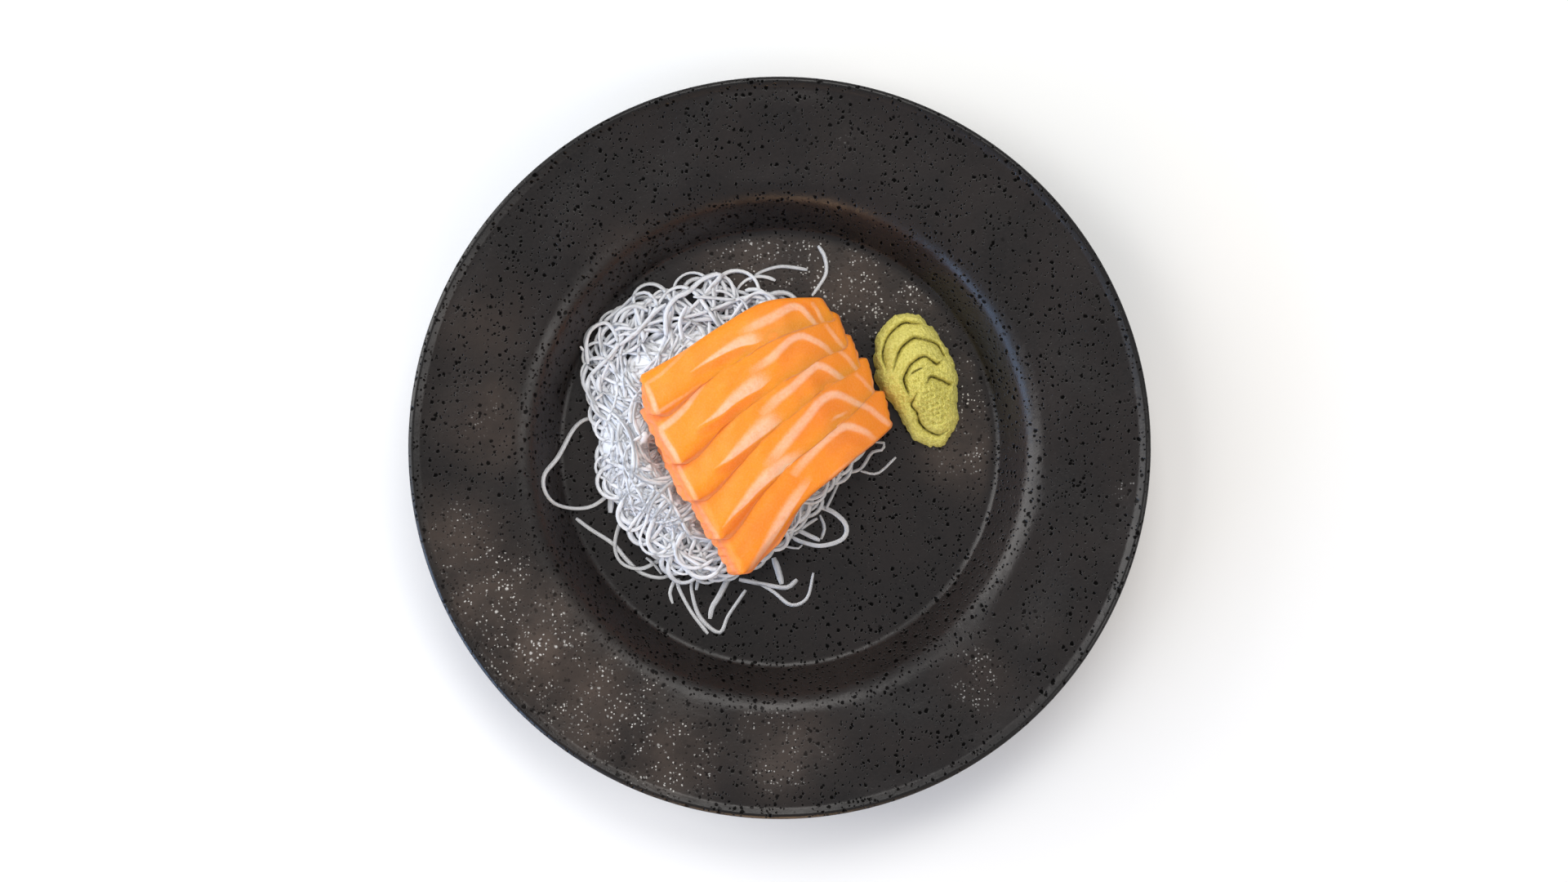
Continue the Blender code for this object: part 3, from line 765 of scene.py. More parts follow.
SLICE_FORMS: tuple[SliceForm, ...] = (
    SliceForm(
        (0.205, 0.195, 0.205, 0.21, 0.18), 30.0, (2.4, 0.3), None, 0.0, 0.0,
        fat_and_painted_highlight=(
            Streak(((-29, 25.6, 0.8, 0.5), (-25, 28, 1.6, 0.8), (-21, 30.2, 2.4, 1.0), (-17, 32.2, 3.4, 1.0),
                    (-12.5, 34, 4.8, 1.0), (-8, 34.8, 6.5, 0.7), (-4, 37, 5.0, 0.0)), False),
            Streak(((-13, 38.3, 3.4, 0.3), (-8.5, 40.8, 3.6, 0.7), (-3, 43.4, 3.6, 0.85), (1.5, 46, 3.2, 0.9),
                    (4.5, 47.3, 2.8, 1.0), (7.4, 46.6, 2.3, 0.9), (10.2, 43.6, 2.0, 0.8), (12.4, 41, 1.8, 0.6))),
            Streak(((11.2, 48.2, 1.5, 0.5), (12.7, 45.9, 1.5, 0.65), (13.8, 43.6, 1.5, 0.65), (14.7, 41.9, 1.5, 0.4))),
            # Painted highlights: along the upper-left edge, down the left end, and along the raised edge at its left
            # end.
            Streak(((-44.5, 21.5, 1.5, 0.5), (-40, 24.5, 1.5, 0.5), (-35.6, 28.4, 1.5, 0.45), (-31, 33, 1.5, 0.35),
                    (-27, 36.5, 1.5, 0.2))),
            Streak(((-44.3, 20.5, 2.2, 0.6), (-42.5, 16, 2.2, 0.8), (-41.5, 13, 2.2, 0.8), (-40.3, 11.5, 2.0, 0.6))),
            Streak(((-40.5, 12, 1.5, 0.6), (-38, 13.5, 1.5, 0.6), (-35, 15.5, 1.5, 0.55), (-31, 18, 1.3, 0.45),
                    (-27, 21, 1.3, 0.3))),
        ),
        shade=(
            Streak(((-7, 34.4, 3.0, 0.3), (-12.5, 33.6, 3.5, 0.6), (-17, 31.8, 4.0, 0.7), (-21, 29.8, 4.0, 0.7),
                    (-25, 27.6, 3.5, 0.5), (-29, 25.2, 3.0, 0.3)), False),
            Streak(((8.4, 48, 1.8, 0.5), (10.8, 45.6, 1.8, 0.6), (12.4, 43.4, 1.8, 0.6), (13.6, 41.6, 1.6, 0.5))),
        ),
    ),
    SliceForm(
        (0.435, 0.425, 0.435, 0.425, 0.375), 29.6, (2.4, 0.3), (20.5, 16.0), -1.2, 2.0,
        fat_and_painted_highlight=(
            Streak(((-39.5, 6.5, 2.6, 0.75), (-35, 10, 2.6, 0.8), (-31, 14, 2.3, 0.7), (-28.5, 17.5, 2.1, 0.6),
                    (-25, 22, 1.8, 0.4))),
            # Painted highlight down the left end.
            Streak(((-39.5, 5.5, 2.2, 0.7), (-38.5, 3, 2.2, 0.8), (-35.5, -1.5, 2.2, 0.8), (-33.5, -5.2, 2.0, 0.6))),
            Streak(((-26.5, 7.3, 0.8, 0.4), (-22.5, 9.4, 1.8, 0.8), (-19, 11.4, 3.2, 1.0), (-14.5, 15, 4.8, 1.0),
                    (-10, 17.8, 6.2, 1.0), (-6, 20, 7.6, 0.85), (-1.5, 24, 7.0, 0.1)), False),
            Streak(((-9.5, 25.5, 3.4, 0.35), (-3.1, 29.8, 3.4, 0.8), (-0.3, 32.4, 3.0, 0.85), (3.4, 35.9, 2.7, 0.9),
                    (6.9, 37.4, 2.6, 1.0), (9.5, 36.9, 2.4, 0.95), (14.4, 34.4, 2.2, 0.8), (17.5, 31.6, 1.9, 0.5))),
            Streak(((15.8, 40.8, 1.6, 0.5), (17.8, 38.2, 1.7, 0.65), (19.8, 35.6, 1.7, 0.65), (21.3, 33.9, 1.6, 0.5))),
        ),
        shade=(
            Streak(((-4, 20.6, 3.0, 0.2), (-8, 18.2, 3.4, 0.6), (-12, 16, 4.0, 0.75), (-16, 13, 4.2, 0.8),
                    (-19.5, 10.2, 4.2, 0.8), (-23, 8.2, 3.6, 0.7), (-27, 6.2, 3.0, 0.4)), False),
            Streak(((0.5, 29, 4.0, 0.2), (5.5, 33, 4.0, 0.35), (10.5, 33, 4.0, 0.35), (15, 30.6, 3.0, 0.2))),
        ),
    ),
    SliceForm(
        (0.61, 0.615, 0.61, 0.585, 0.545), 28.8, (2.4, 0.3), (20.5, 15.5), -2.2, 2.2,
        fat_and_painted_highlight=(
            Streak(((-21, -6.6, 0.6, 0.4), (-18, -5, 1.8, 0.8), (-15, -3.2, 3.4, 1.0), (-11, -0.2, 5.0, 1.0),
                    (-6, 3.5, 7.0, 1.0), (-2, 6.5, 8.0, 0.85), (2, 9.8, 7.5, 0.2)), False),
            Streak(((-5.5, 11.5, 4.0, 0.5), (-0.3, 16.7, 3.8, 0.8), (4, 20, 3.2, 0.85), (9.5, 25.2, 3.0, 0.9),
                    (12.6, 27.5, 2.8, 1.0), (16.1, 26.5, 2.6, 0.9), (19.5, 24.2, 2.4, 0.8), (22.6, 22.1, 2.2, 0.4))),
            # Painted highlight along the raised edge above.
            Streak(((5.5, 26.1, 1.2, 0.5), (7.5, 27.8, 1.2, 0.7), (9.5, 29, 1.2, 0.7), (11.5, 29, 1.2, 0.5))),
            Streak(((20.4, 32.2, 1.7, 0.6), (23, 29.9, 1.7, 0.65), (24.7, 27.6, 1.7, 0.6), (26.4, 25.6, 1.7, 0.55),
                    (27.6, 23.3, 1.6, 0.4))),
            # Painted highlight down the left end.
            Streak(((-33.6, -6.6, 1.8, 0.5), (-31.6, -10.8, 2.0, 0.6), (-29, -15, 2.0, 0.6), (-27.4, -18.4, 1.8, 0.5))),
        ),
        shade=(
            Streak(((2, 9.2, 3.0, 0.2), (-2, 5.9, 3.6, 0.6), (-6, 2.9, 4.2, 0.8), (-11, -0.8, 4.6, 0.85),
                    (-15, -3.8, 4.6, 0.85), (-18, -5.6, 4.2, 0.7), (-21, -7.2, 3.0, 0.4)), False),
            Streak(((7.3, 25.8, 1.1, 1.0), (9.2, 27.2, 1.2, 1.0), (10.9, 28.1, 1.0, 0.9))),
            Streak(((5.5, 18.5, 4.5, 0.2), (10.5, 22.6, 4.5, 0.4), (15.5, 22.8, 4.5, 0.4), (20, 20.4, 3.5, 0.3))),
        ),
    ),
    SliceForm(
        (0.815, 0.805, 0.805, 0.795, 0.755), 27.4, (2.4, 0.3), (20.0, 16.0), -0.8, 3.4,
        fat_and_painted_highlight=(
            Streak(((-18.5, -26.5, 0.8, 0.4), (-15, -22.6, 2.0, 0.8), (-11, -19, 3.4, 1.0), (-7, -14.8, 4.6, 1.0),
                    (-2, -10.4, 6.0, 1.0), (4, -6, 6.0, 0.9), (8.5, -1.5, 4.0, 0.2)), False),
            Streak(((-4, -6, 4.6, 0.4), (0.3, -0.5, 4.2, 0.75), (5.5, 5.8, 3.8, 0.85), (9.8, 10.9, 3.4, 0.85),
                    (13.4, 15.3, 3.2, 0.9), (17.6, 17.8, 3.0, 1.0), (21.3, 17.2, 2.7, 0.9), (25.9, 14.9, 2.4, 0.85),
                    (30.4, 12.9, 2.3, 0.8))),
            Streak(((25.9, 24.4, 1.7, 0.5), (27.6, 23, 1.7, 0.55), (29.3, 21, 1.7, 0.55), (31.3, 19, 1.7, 0.5),
                    (32.7, 17.8, 1.6, 0.4))),
            # Painted highlight along the raised edge.
            Streak(((17, 8.6, 1.2, 0.2), (19, 10.3, 1.3, 0.6), (21, 11.2, 1.3, 0.6), (23, 12.4, 1.2, 0.2))),
            # Painted highlight down the left end.
            Streak(((-27, -20, 1.8, 0.4), (-24.4, -24.4, 2.0, 0.5), (-21.4, -29, 2.0, 0.5), (-19.6, -31.6, 1.8, 0.4))),
        ),
        shade=(
            Streak(((8.5, -2.2, 3.0, 0.2), (3, -7, 4.2, 0.7), (-2, -11.2, 4.8, 0.9), (-7, -15.8, 5.0, 1.0),
                    (-11, -19.8, 5.0, 1.0), (-15, -23.6, 4.6, 0.9), (-18.5, -27.4, 3.0, 0.5)), False),
            Streak(((6.5, 3, 5.0, 0.2), (12, 9.5, 5.5, 0.45), (17.5, 13.6, 5.0, 0.5), (23, 12.6, 4.0, 0.4))),
        ),
    ),
    SliceForm(
        (1.0, 1.0, 1.0, 1.0, 1.0), 25.2, (5.0, 3.0), (20.0, 15.5), 0.0, 2.8,
        fat_and_painted_highlight=(
            Streak(((5, -8.5, 3.6, 0.5), (9.8, -2.9, 3.4, 0.75), (14.9, 2.3, 3.2, 0.85), (19.5, 6, 3.0, 0.95),
                    (22.9, 7.2, 2.9, 1.0), (26.4, 6.3, 2.6, 0.9), (29, 5.2, 2.4, 0.8), (31.5, 3.2, 2.2, 0.5))),
            # Painted highlights along the raised edge.
            Streak(((-9.5, -41, 1.8, 0.6), (-4, -34, 3.4, 0.9), (1, -26.5, 4.8, 1.0), (5, -20, 5.0, 0.9),
                    (9, -14, 4.5, 0.6), (12, -9, 4.0, 0.1)), False),
            Streak(((15, -13, 1.6, 0.3), (20, -8, 1.6, 0.5), (27, -2.8, 1.6, 0.45), (33, 2.5, 1.6, 0.3)), False),
            Streak(((26, 15, 2.4, 0.8), (30.4, 12.9, 2.3, 0.8), (35, 9.2, 2.2, 0.75), (37.6, 7.4, 2.0, 0.5))),
        ),
        shade=(
            Streak(((-13, -36, 5.0, 0.5), (-7, -27, 6.0, 0.6), (-1, -18.5, 6.0, 0.5), (5, -11.5, 5.0, 0.2))),
            Streak(((16, -1, 5.0, 0.1), (21, 3, 5.0, 0.4), (26, 2.6, 4.0, 0.4), (30, 0.6, 3.0, 0.2))),
        ),
    ),
)


@dataclass
class SalmonFan:
    """Slices of salmon that fan out between two plan curves, each leaning on the next."""

    first: Array
    last: Array
    forms: tuple[SliceForm, ...]
    floor_z: float = 6.5
    length: float = 70.0
    thickness: float = 6.0
    rounding: float = 1.3
    rest_gap: float = -0.15
    arch: float = 1.2
    knee: float = 0.66
    droop: float = 8.5
    roll_depths: tuple[float, float] = (1.9, 0.35)
    roll_widths: tuple[float, float] = (5.0, 4.5)
    thickening: float = 7.0
    edge_fade: tuple[float, float] = (0.05, 0.4)
    first_slope: float = 0.22
    first_bend: tuple[float, float] = (8.0, 0.07)
    hidden_bend: float = 0.08
    slant: tuple[float, float] = (6.0, 4.6)
    right_slant: float = 0.6
    lean: float = 4.2
    lean_rest: float = 0.7
    seen_z: float = 28.0
    eye: tuple[float, float, float] = (1.5, 2.3, 650.0)

    def span(self, along: Array) -> Array:
        """Distance across the fan, from its first curve to its last."""
        return np.linalg.norm(spline(self.last, along) - spline(self.first, along), axis=-1)

    def edge_share(self, index: int, along: Array) -> Array:
        """Share across the fan at which a slice's raised edge lies."""
        return spline(np.array(self.forms[index].shares), along)

    def width(self, index: int, along: Array) -> Array:
        """Width of a slice in plan; the first one reaches the fan's first curve."""
        form = self.forms[index]
        if form.width is None:
            return self.edge_share(index, along) * self.span(along)
        return form.width[0] + (form.width[1] - form.width[0]) * along

    def pitch(self, index: int, along: Array) -> Array:
        """Distance in plan from the raised edge of the slice before to a slice's own."""
        return (self.edge_share(index, along) - self.edge_share(index - 1, along)) * self.span(along)

    def edge_thickness(self, index: int, along: Array) -> Array:
        """Thickness of a slice at its raised edge, which changes over the slice's left part."""
        left, right = self.forms[index].edge
        return left + (right - left) * smooth_step(*self.edge_fade, along)

    def roll_depth(self, along: Array) -> Array:
        """How far a slice's top rolls down at its raised edge, less over its right part."""
        left, right = self.roll_depths
        return left + (right - left) * smooth_step(0.2, 0.6, along)

    def plane(self, index: int, along: Array, inward: Array) -> Array:
        """Height of a slice's top without the roll at its raised edge.

        Along the slice the edge is a low arch that droops past a knee. Inward, the first
        slice falls by a slope and, past a start, by a square. The others fall so that they
        meet the edge of the slice before from below, and bend down where they are hidden.
        """
        past = np.clip((along - self.knee) / (1 - self.knee), 0, 2)
        edge = self.forms[index].edge_z + self.arch * 4 * along * (1 - along) - self.droop * past**1.5
        if index == 0:
            start, bend = self.first_bend
            return edge - self.first_slope * inward - bend * np.maximum(inward - start, 0) ** 2
        pitch = self.pitch(index, along)
        step = self.forms[index].edge_z - self.forms[index - 1].edge_z
        fall = step + self.roll_depth(along) + self.edge_thickness(index - 1, along) + self.rest_gap
        return edge - inward * fall / pitch - self.hidden_bend * np.maximum(inward - pitch, 0) ** 2

    def top(self, index: int, along: Array, inward: Array) -> Array:
        """Height of a slice's top: its plane less the roll, a square over the roll's width."""
        left, right = self.roll_widths
        width = left + (right - left) * smooth_step(0.2, 0.7, along)
        return self.plane(index, along, inward) - self.roll_depth(along) * np.clip(1 - inward / width, 0, 1.4) ** 2

    def bottom(self, index: int, along: Array, inward: Array) -> Array:
        """Height of a slice's underside: its thickness down, or resting on the next slice."""
        edge = self.roll_depth(along) + self.edge_thickness(index, along)
        thickness = edge + (self.thickness - edge) * smooth_step(0, self.thickening, inward)
        height = self.plane(index, along, inward) - thickness
        if index < len(self.forms) - 1:
            resting = self.top(index + 1, along, inward + self.pitch(index + 1, along)) + self.rest_gap
            height = np.maximum(height, resting)
        return np.maximum(height, self.floor_z + 0.7)

    def place(self, index: int, x: Array, across: Array, depth: Array) -> Array:
        """World point of a slice's slab.

        The cut ends slant out and inward with depth, the raised side leans out, and the
        right end stands out in a tooth where the slice comes from under the one before.

        Args:
            index: Number of the slice, from 0.
            x: Distance along the slab.
            across: 0 at the raised edge, 1 at the hidden one.
            depth: Distance down from the top.

        Returns:
            Points in millimetres, in the last axis.
        """
        form, level = self.forms[index], depth / self.thickness
        along = x / self.length
        width = self.width(index, along)
        inward = across * width
        rise, fall = smooth_step(0.0, 0.68, across), smooth_step(0.68, 0.92, across)
        slant = level * (1 - across) if index == 0 else level
        ragged = 0.35 * soft_noise(across * width, depth, 4.5, 40 + index) * smooth_step(0.1, 0.6, level)
        start = form.start - self.slant[0] * slant + 1.6 * ragged
        end = form.tooth * (rise - 1.4 * fall) + self.right_slant * level + ragged
        shift = start * (1 - along) ** 4 + end * along**6
        fade = (0.22, 0.5) if index == len(self.forms) - 1 else (0.09, 0.36)
        lean = self.lean_rest + self.lean * smooth_step(0.0, 0.09, along) * (1 - smooth_step(*fade, along))
        wander = 0.35 * soft_noise(x, 0 * x, 19, 20 + index) + 0.10 * soft_noise(x, depth, 5, 30 + index)
        inward = inward - (lean * level + wander) * (1 - across) ** 2
        inward = inward + self.slant[1] * slant * (1 - along) ** 4
        along = along + shift / self.length
        reach = np.minimum(inward, width)
        top, bottom = self.top(index, along, reach), self.bottom(index, along, reach)
        share = self.edge_share(index, along) - inward / self.span(along)
        first, last = spline(self.first, along), spline(self.last, along)
        plan = first + (last - first) * share[..., None]
        height = top + (bottom - top) * level
        return np.concatenate([plan, height[..., None]], axis=-1)

    def slab(self, index: int) -> tuple[Array, Array]:
        """Points and faces of the unbent slab: a box whose edges are rounded off.

        A point within the rounding of an edge moves onto the arc about the nearest point
        of the box that is smaller by the rounding all round.

        Args:
            index: Number of the slice.

        Returns:
            Points as x, across in millimetres and depth, and quads.
        """
        width = float(self.width(index, 0.5))
        near = self.rounding * (1 - np.cos(np.linspace(0, math.pi / 2, 6)))
        size = np.array([self.length, width, self.thickness])
        inner = [np.linspace(self.rounding, side - self.rounding, count)[1:-1]
                 for side, count in zip(size, (215, 64, 12))]
        levels = tuple(np.concatenate([near, middle, side - near[::-1]]) for side, middle in zip(size, inner))
        points, quads = shell_lattice(levels)
        core = np.clip(points, self.rounding, size - self.rounding)
        away = points - core
        return core + away * self.rounding / np.linalg.norm(away, axis=1, keepdims=True), quads[:, ::-1]

    def seen_plan(self, points: Array) -> Array:
        """Plan of points carried, along the lines from the serving eye point, to one height."""
        eye = np.array(self.eye[:2])
        share = (self.eye[2] - self.seen_z) / (self.eye[2] - points[:, 2:])
        return eye + (points[:, :2] - eye) * share

    def build(self, index: int, flesh: bpy.types.Material) -> bpy.types.Object:
        """Bend a fine slab into a slice and mark where fatty lines, painted edge highlights, painted shade and cut
        sides lie.

        Args:
            index: Number of the slice, from 0.
            flesh: Its finish.

        Returns:
            The slice.
        """
        slab, quads = self.slab(index)
        width = float(self.width(index, 0.5))
        x, across, depth = slab[:, 0], slab[:, 1] / width, slab[:, 2]
        points = self.place(index, x, across, depth)
        plan = self.seen_plan(points)
        form = self.forms[index]
        # Fatty lines with painted edge highlights, and painted shade.
        fat_and_painted_highlight = np.max([streak.strength(plan) for streak in form.fat_and_painted_highlight], axis=0)
        shade = np.max([streak.strength(plan) for streak in form.shade], axis=0)
        along = x / self.length
        if index:
            left = 1 - smooth_step(0.05, 0.34, along)
            crease = np.abs(self.pitch(index, along) - across * self.width(index, along))
            shade = np.maximum(shade, (1 - smooth_step(0.0, 0.9 + 2.2 * left, crease)) * (0.12 + 0.88 * left))
        near_top = 1 - smooth_step(0.8, 2.2, depth)
        swell = 0.22 * soft_noise(points[:, 0], points[:, 1], 11, 50 + index) + 0.16 * fat_and_painted_highlight - 0.10 * shade
        exposed = 1 - smooth_step(0.55, 0.68, across)
        points[:, 2] += swell * near_top * (exposed if index else 1.0)
        piece = make_mesh(f"salmon_slice_{index + 1}_flesh", points, quads, flesh)
        reach = 0.10 + 0.32 * along + 0.05 * index + 0.12 * soft_noise(plan[:, 0], plan[:, 1], 16, 9)
        add_attribute(piece, "reach", np.clip(reach, 0, 1))
        add_attribute(piece, "fat_and_painted_highlight", fat_and_painted_highlight * (1 - smooth_step(1.5, 4.0, depth)))
        add_attribute(piece, "shade", np.clip(shade, 0, 1) * near_top)
        layers = 0.72 + 0.22 * np.sin(depth * 2.9 + 0.6 * soft_noise(x, across * width, 7, 70 + index))
        add_attribute(piece, "side", smooth_step(0.7, 2.0, depth) * layers)
        finish_piece(piece, "salmon", f"salmon_slice_{index + 1}")
        return piece

    def ceiling(self, cells: "HeightField") -> Array:
        """Lowest fish over each cell of a height field, rising steadily away from the fish."""
        x, across = np.meshgrid(np.linspace(0, self.length, 281), np.linspace(0, 1, 81), indexing="ij")
        depth = np.full(x.shape, self.thickness)
        lowest = np.full(cells.shape, 1000.0)
        for index in range(len(self.forms)):
            under = self.place(index, x, across, depth).reshape(-1, 3)
            np.minimum.at(lowest, cells.index(under[:, :2]), under[:, 2])
        for rise in (0.0,) + (0.8,) * 8:
            for axis in (0, 1):
                beside = np.minimum(np.roll(lowest, 1, axis), np.roll(lowest, -1, axis))
                lowest = np.minimum(lowest, beside + rise)
        return lowest


# ---------------------------------------------------------------- radish


class HeightField:
    """Top of everything laid so far, on a square grid of cells, in millimetres."""

    def __init__(self, low: tuple[float, float], high: tuple[float, float], cell: float) -> None:
        """Start an empty field between two plan corners.

        Args:
            low: Lowest x and y.
            high: Highest x and y.
            cell: Side of a cell.
        """
        self.low, self.cell = np.array(low), cell
        self.shape = tuple(np.ceil((np.array(high) - self.low) / cell).astype(int))
        self.height = np.zeros(self.shape)

    def index(self, plan: Array) -> tuple[Array, Array]:
        """Cell numbers of plan points, held within the field."""
        place = ((plan - self.low) / self.cell).astype(int)
        return tuple(np.clip(place[..., axis], 0, self.shape[axis] - 1) for axis in (0, 1))

    def centres(self) -> tuple[Array, Array]:
        """X and y of the cells' middles."""
        places = [self.low[axis] + (np.arange(self.shape[axis]) + 0.5) * self.cell for axis in (0, 1)]
        return tuple(np.meshgrid(*places, indexing="ij"))

    def lift(self, plan: Array, height: Array) -> None:
        """Raise the cells at plan points to heights, where they are lower."""
        np.maximum.at(self.height, self.index(plan), height)


def pass_low(values: Array, rounds: int) -> Array:
    """Values smoothed by their two neighbours, a number of times, the ends held."""
    for _ in range(rounds):
        padded = np.concatenate([values[:1], values, values[-1:]])
        values = 0.25 * padded[:-2] + 0.5 * values + 0.25 * padded[2:]
    return values


@dataclass(frozen=True)
class Shred:
    """One shred whose place is known: its route in plan and its width."""

    route: tuple[tuple[float, float], ...]
    width: float


@dataclass
class Radish:
    """Heap of shredded radish: a low core under loose shreds, and stray shreds on the plate."""

    plate: Plate
    fan: SalmonFan
    outline: tuple[float, ...]
    centre: tuple[float, float] = (-22.0, 3.0)
    core_height: float = 12.8
    core_shares: tuple[float, ...] = (
        0.80, 0.80, 0.78, 0.74, 0.72, 0.72, 0.78, 0.94, 1.0, 0.97, 0.84, 0.78, 0.78, 0.80, 0.80,
    )
    shred_width: tuple[float, float] = (1.1, 1.9)
    shred_thickness: float = 0.7
    count: int = 240
    step: float = 1.4
    sides: int = 5
    sunk: float = 0.25
    loose: tuple[float, float] = (1.0, 2.5)
    lid: Array | None = None

    def share(self, x: Array, y: Array) -> Array:
        """0 at the heap's middle and 1 at its outline."""
        away_x, away_y = x - self.centre[0], y - self.centre[1]
        angle = np.mod(np.arctan2(away_y, away_x), 2 * math.pi) / (2 * math.pi)
        return np.hypot(away_x, away_y) / spline(np.array(self.outline), angle, closed=True)

    def core_reach(self, angle: Array) -> Array:
        """Share of the outline that the core fills: more where the heap is dense."""
        return spline(np.array(self.core_shares), np.mod(angle, 2 * math.pi) / (2 * math.pi), closed=True)

    def core_z(self, x: Array, y: Array, ceiling: Array) -> Array:
        """Top of the core: a lumpy dome over the floor, kept under the fish."""
        share = self.share(x, y) / self.core_reach(np.arctan2(y - self.centre[1], x - self.centre[0]))
        dome = self.core_height * np.clip(1 - np.clip(share, 0, 1) ** 3.4, 0, 1) ** 0.5
        lumps = 1 + 0.07 * soft_noise(x, y, 15, 4) + 0.02 * soft_noise(x, y, 3.0, 5)
        return np.minimum(self.plate.floor_z + 0.4 + dome * lumps, ceiling - 1.2)

    def build_core(self, field: HeightField, ceiling: Array, flesh: bpy.types.Material) -> bpy.types.Object:
        """Make the core on a polar grid about the heap's middle, closed by a flat foot.

        Args:
            field: Height field, whose cells the core raises.
            ceiling: Lowest fish over each cell.
            flesh: Its finish.

        Returns:
            The core.
        """
        rings, steps = 44, 150
        angle = np.arange(steps) * 2 * math.pi / steps
        radius = spline(np.array(self.outline), angle / (2 * math.pi), closed=True) * self.core_reach(angle)
        share = np.linspace(0, 1, rings + 1)[1:, None]
        x = self.centre[0] + share * radius * np.cos(angle)
        y = self.centre[1] + share * radius * np.sin(angle)
        height = self.core_z(x, y, ceiling[field.index(np.stack([x, y], axis=-1))])
        foot = np.full(steps, self.plate.floor_z + 0.3)
        top = np.stack([x, y, height], axis=-1)
        rim = np.stack([x[-1], y[-1], foot], axis=-1)
        middle = np.array([self.centre])
        crown = self.core_z(middle[:, 0], middle[:, 1], ceiling[field.index(middle)])
        poles = [(*self.centre, crown[0]), (*self.centre, foot[0])]
        points = np.concatenate([top.reshape(-1, 3), rim, poles])
        piece = make_mesh("radish_core", points, turned_faces(rings + 1, steps), flesh)
        add_attribute(piece, "alone", np.zeros(len(points)))
        grid_x, grid_y = field.centres()
        turn = np.arctan2(grid_y - self.centre[1], grid_x - self.centre[0])
        inside = self.share(grid_x, grid_y) < self.core_reach(turn)
        level = self.core_z(grid_x, grid_y, ceiling)
        field.height[inside] = np.maximum(field.height, level)[inside]
        self.lid = np.where(inside, level, 1000.0)
        finish_piece(piece, "radish", "daikon_heap")
        return piece

    def wander(self, draw: np.random.Generator) -> Shred:
        """Make one loose shred.

        It starts anywhere in the heap and turns by a slowly changing bend, and where it
        nears the outline it turns back towards the heap's middle.

        Args:
            draw: Source of random numbers.

        Returns:
            The shred.
        """
        length = draw.uniform(40, 110)
        places = int(length / self.step)
        start_angle, start_share = draw.uniform(0, 2 * math.pi), math.sqrt(draw.uniform(0.05, 0.9))
        reach = spline(np.array(self.outline), np.array(start_angle / (2 * math.pi)), closed=True)
        at = np.array(self.centre) + start_share * reach * np.array([math.cos(start_angle), math.sin(start_angle)])
        heading = start_angle + draw.choice((-1, 1)) * draw.uniform(0.6, 2.3)
        bend, route = draw.normal(0, 0.035), []
        for _ in range(places):
            route.append(at)
            bend = np.clip(0.93 * bend + draw.normal(0, 0.016), -0.13, 0.13)
            share = float(self.share(at[0], at[1]))
            home = math.atan2(self.centre[1] - at[1], self.centre[0] - at[0])
            turn = (home - heading + math.pi) % (2 * math.pi) - math.pi
            pull = 0.22 * max(share - 0.86, 0) / 0.14
            heading += self.step * (bend + math.copysign(min(pull, 0.22), turn) * (abs(turn) > 0.3))
            at = at + self.step * np.array([math.cos(heading), math.sin(heading)])
        return Shred(tuple(map(tuple, route)), draw.uniform(*self.shred_width))

    def drape(self, route: Array, width: float, late: float, field: HeightField, ceiling: Array) -> Array:
        """Lay a shred on what is below it.

        Its underside is the highest cell under its width, bridged over hollows: the
        profile is smoothed and held under the fish. Over the core the shreds settle into
        one another: none rises far above the core, and the late ones rise most.

        Args:
            route: Plan route, evenly spaced.
            width: The shred's width.
            late: When it is laid, from 0 for the first shred to 1 for the last.
            field: Height field, which the shred then raises.
            ceiling: Lowest fish over each cell.

        Returns:
            Path of the shred's middle.
        """
        ahead = np.gradient(route, axis=0)
        side = np.stack([-ahead[:, 1], ahead[:, 0]], axis=1)
        side /= np.maximum(np.linalg.norm(side, axis=1, keepdims=True), 1e-6)
        offsets = np.linspace(-0.5, 0.5, 5)[:, None, None] * width * side
        under = field.height[field.index(route + offsets)].max(axis=0)
        bridged = under
        for _ in range(6):
            bridged = np.maximum(pass_low(bridged, 3), under * 0.75 + bridged * 0.25)
        bridged = pass_low(bridged, 3)
        under = field.index(route + offsets)
        lid = self.lid[under].min(axis=0) + self.loose[0] + (self.loose[1] - self.loose[0]) * late
        room = np.minimum(ceiling[under].min(axis=0), lid)
        middle = np.minimum(bridged - self.sunk + self.shred_thickness / 2, room - self.shred_thickness)
        middle = pass_low(middle, 4)
        for offset in offsets:
            field.lift(route + offset, middle + self.shred_thickness / 2)
        return np.concatenate([route, middle[:, None]], axis=1)

    def build_shreds(self, name: str, shreds: list[Shred], alone: float, field: HeightField,
                     ceiling: Array, draw: np.random.Generator, flesh: bpy.types.Material) -> bpy.types.Object:
        """Drape shreds one after another and join them into one piece.

        Args:
            name: Name of the piece.
            shreds: The shreds, lowest first.
            alone: How grey and clear the shreds look.
            field: Height field of what they lie on.
            ceiling: Lowest fish over each cell.
            draw: Source of random numbers.
            flesh: Their finish.

        Returns:
            The joined shreds.
        """
        paths, rolls, widths, thicknesses, tones = [], [], [], [], []
        for number, shred in enumerate(shreds):
            route = along_route(np.array(shred.route), self.step)
            path = self.drape(route, shred.width, number / len(shreds), field, ceiling)
            length = np.arange(len(path)) * self.step
            taper = np.minimum(1, 0.7 + 0.3 * np.minimum(length, length[::-1]) / 1.4)
            wave = 1 + 0.14 * np.sin(length / draw.uniform(4, 9) + draw.uniform(0, 6))
            paths.append(path)
            rolls.append(0.45 * np.sin(length / draw.uniform(9, 20) + draw.uniform(0, 6)))
            widths.append(shred.width * taper * wave)
            thicknesses.append(self.shred_thickness * taper)
            tone = np.full(len(path), alone) + draw.uniform(-0.10, 0.16)
            tones.append(np.concatenate([np.repeat(tone, self.sides), tone[:2]]))
        points, faces = tubes(paths, rolls, widths, thicknesses, self.sides)
        piece = make_mesh(name, points, faces, flesh)
        add_attribute(piece, "alone", np.clip(np.concatenate(tones), 0, 1))
        finish_piece(piece, "radish")
        return piece


# ---------------------------------------------------------------- wasabi


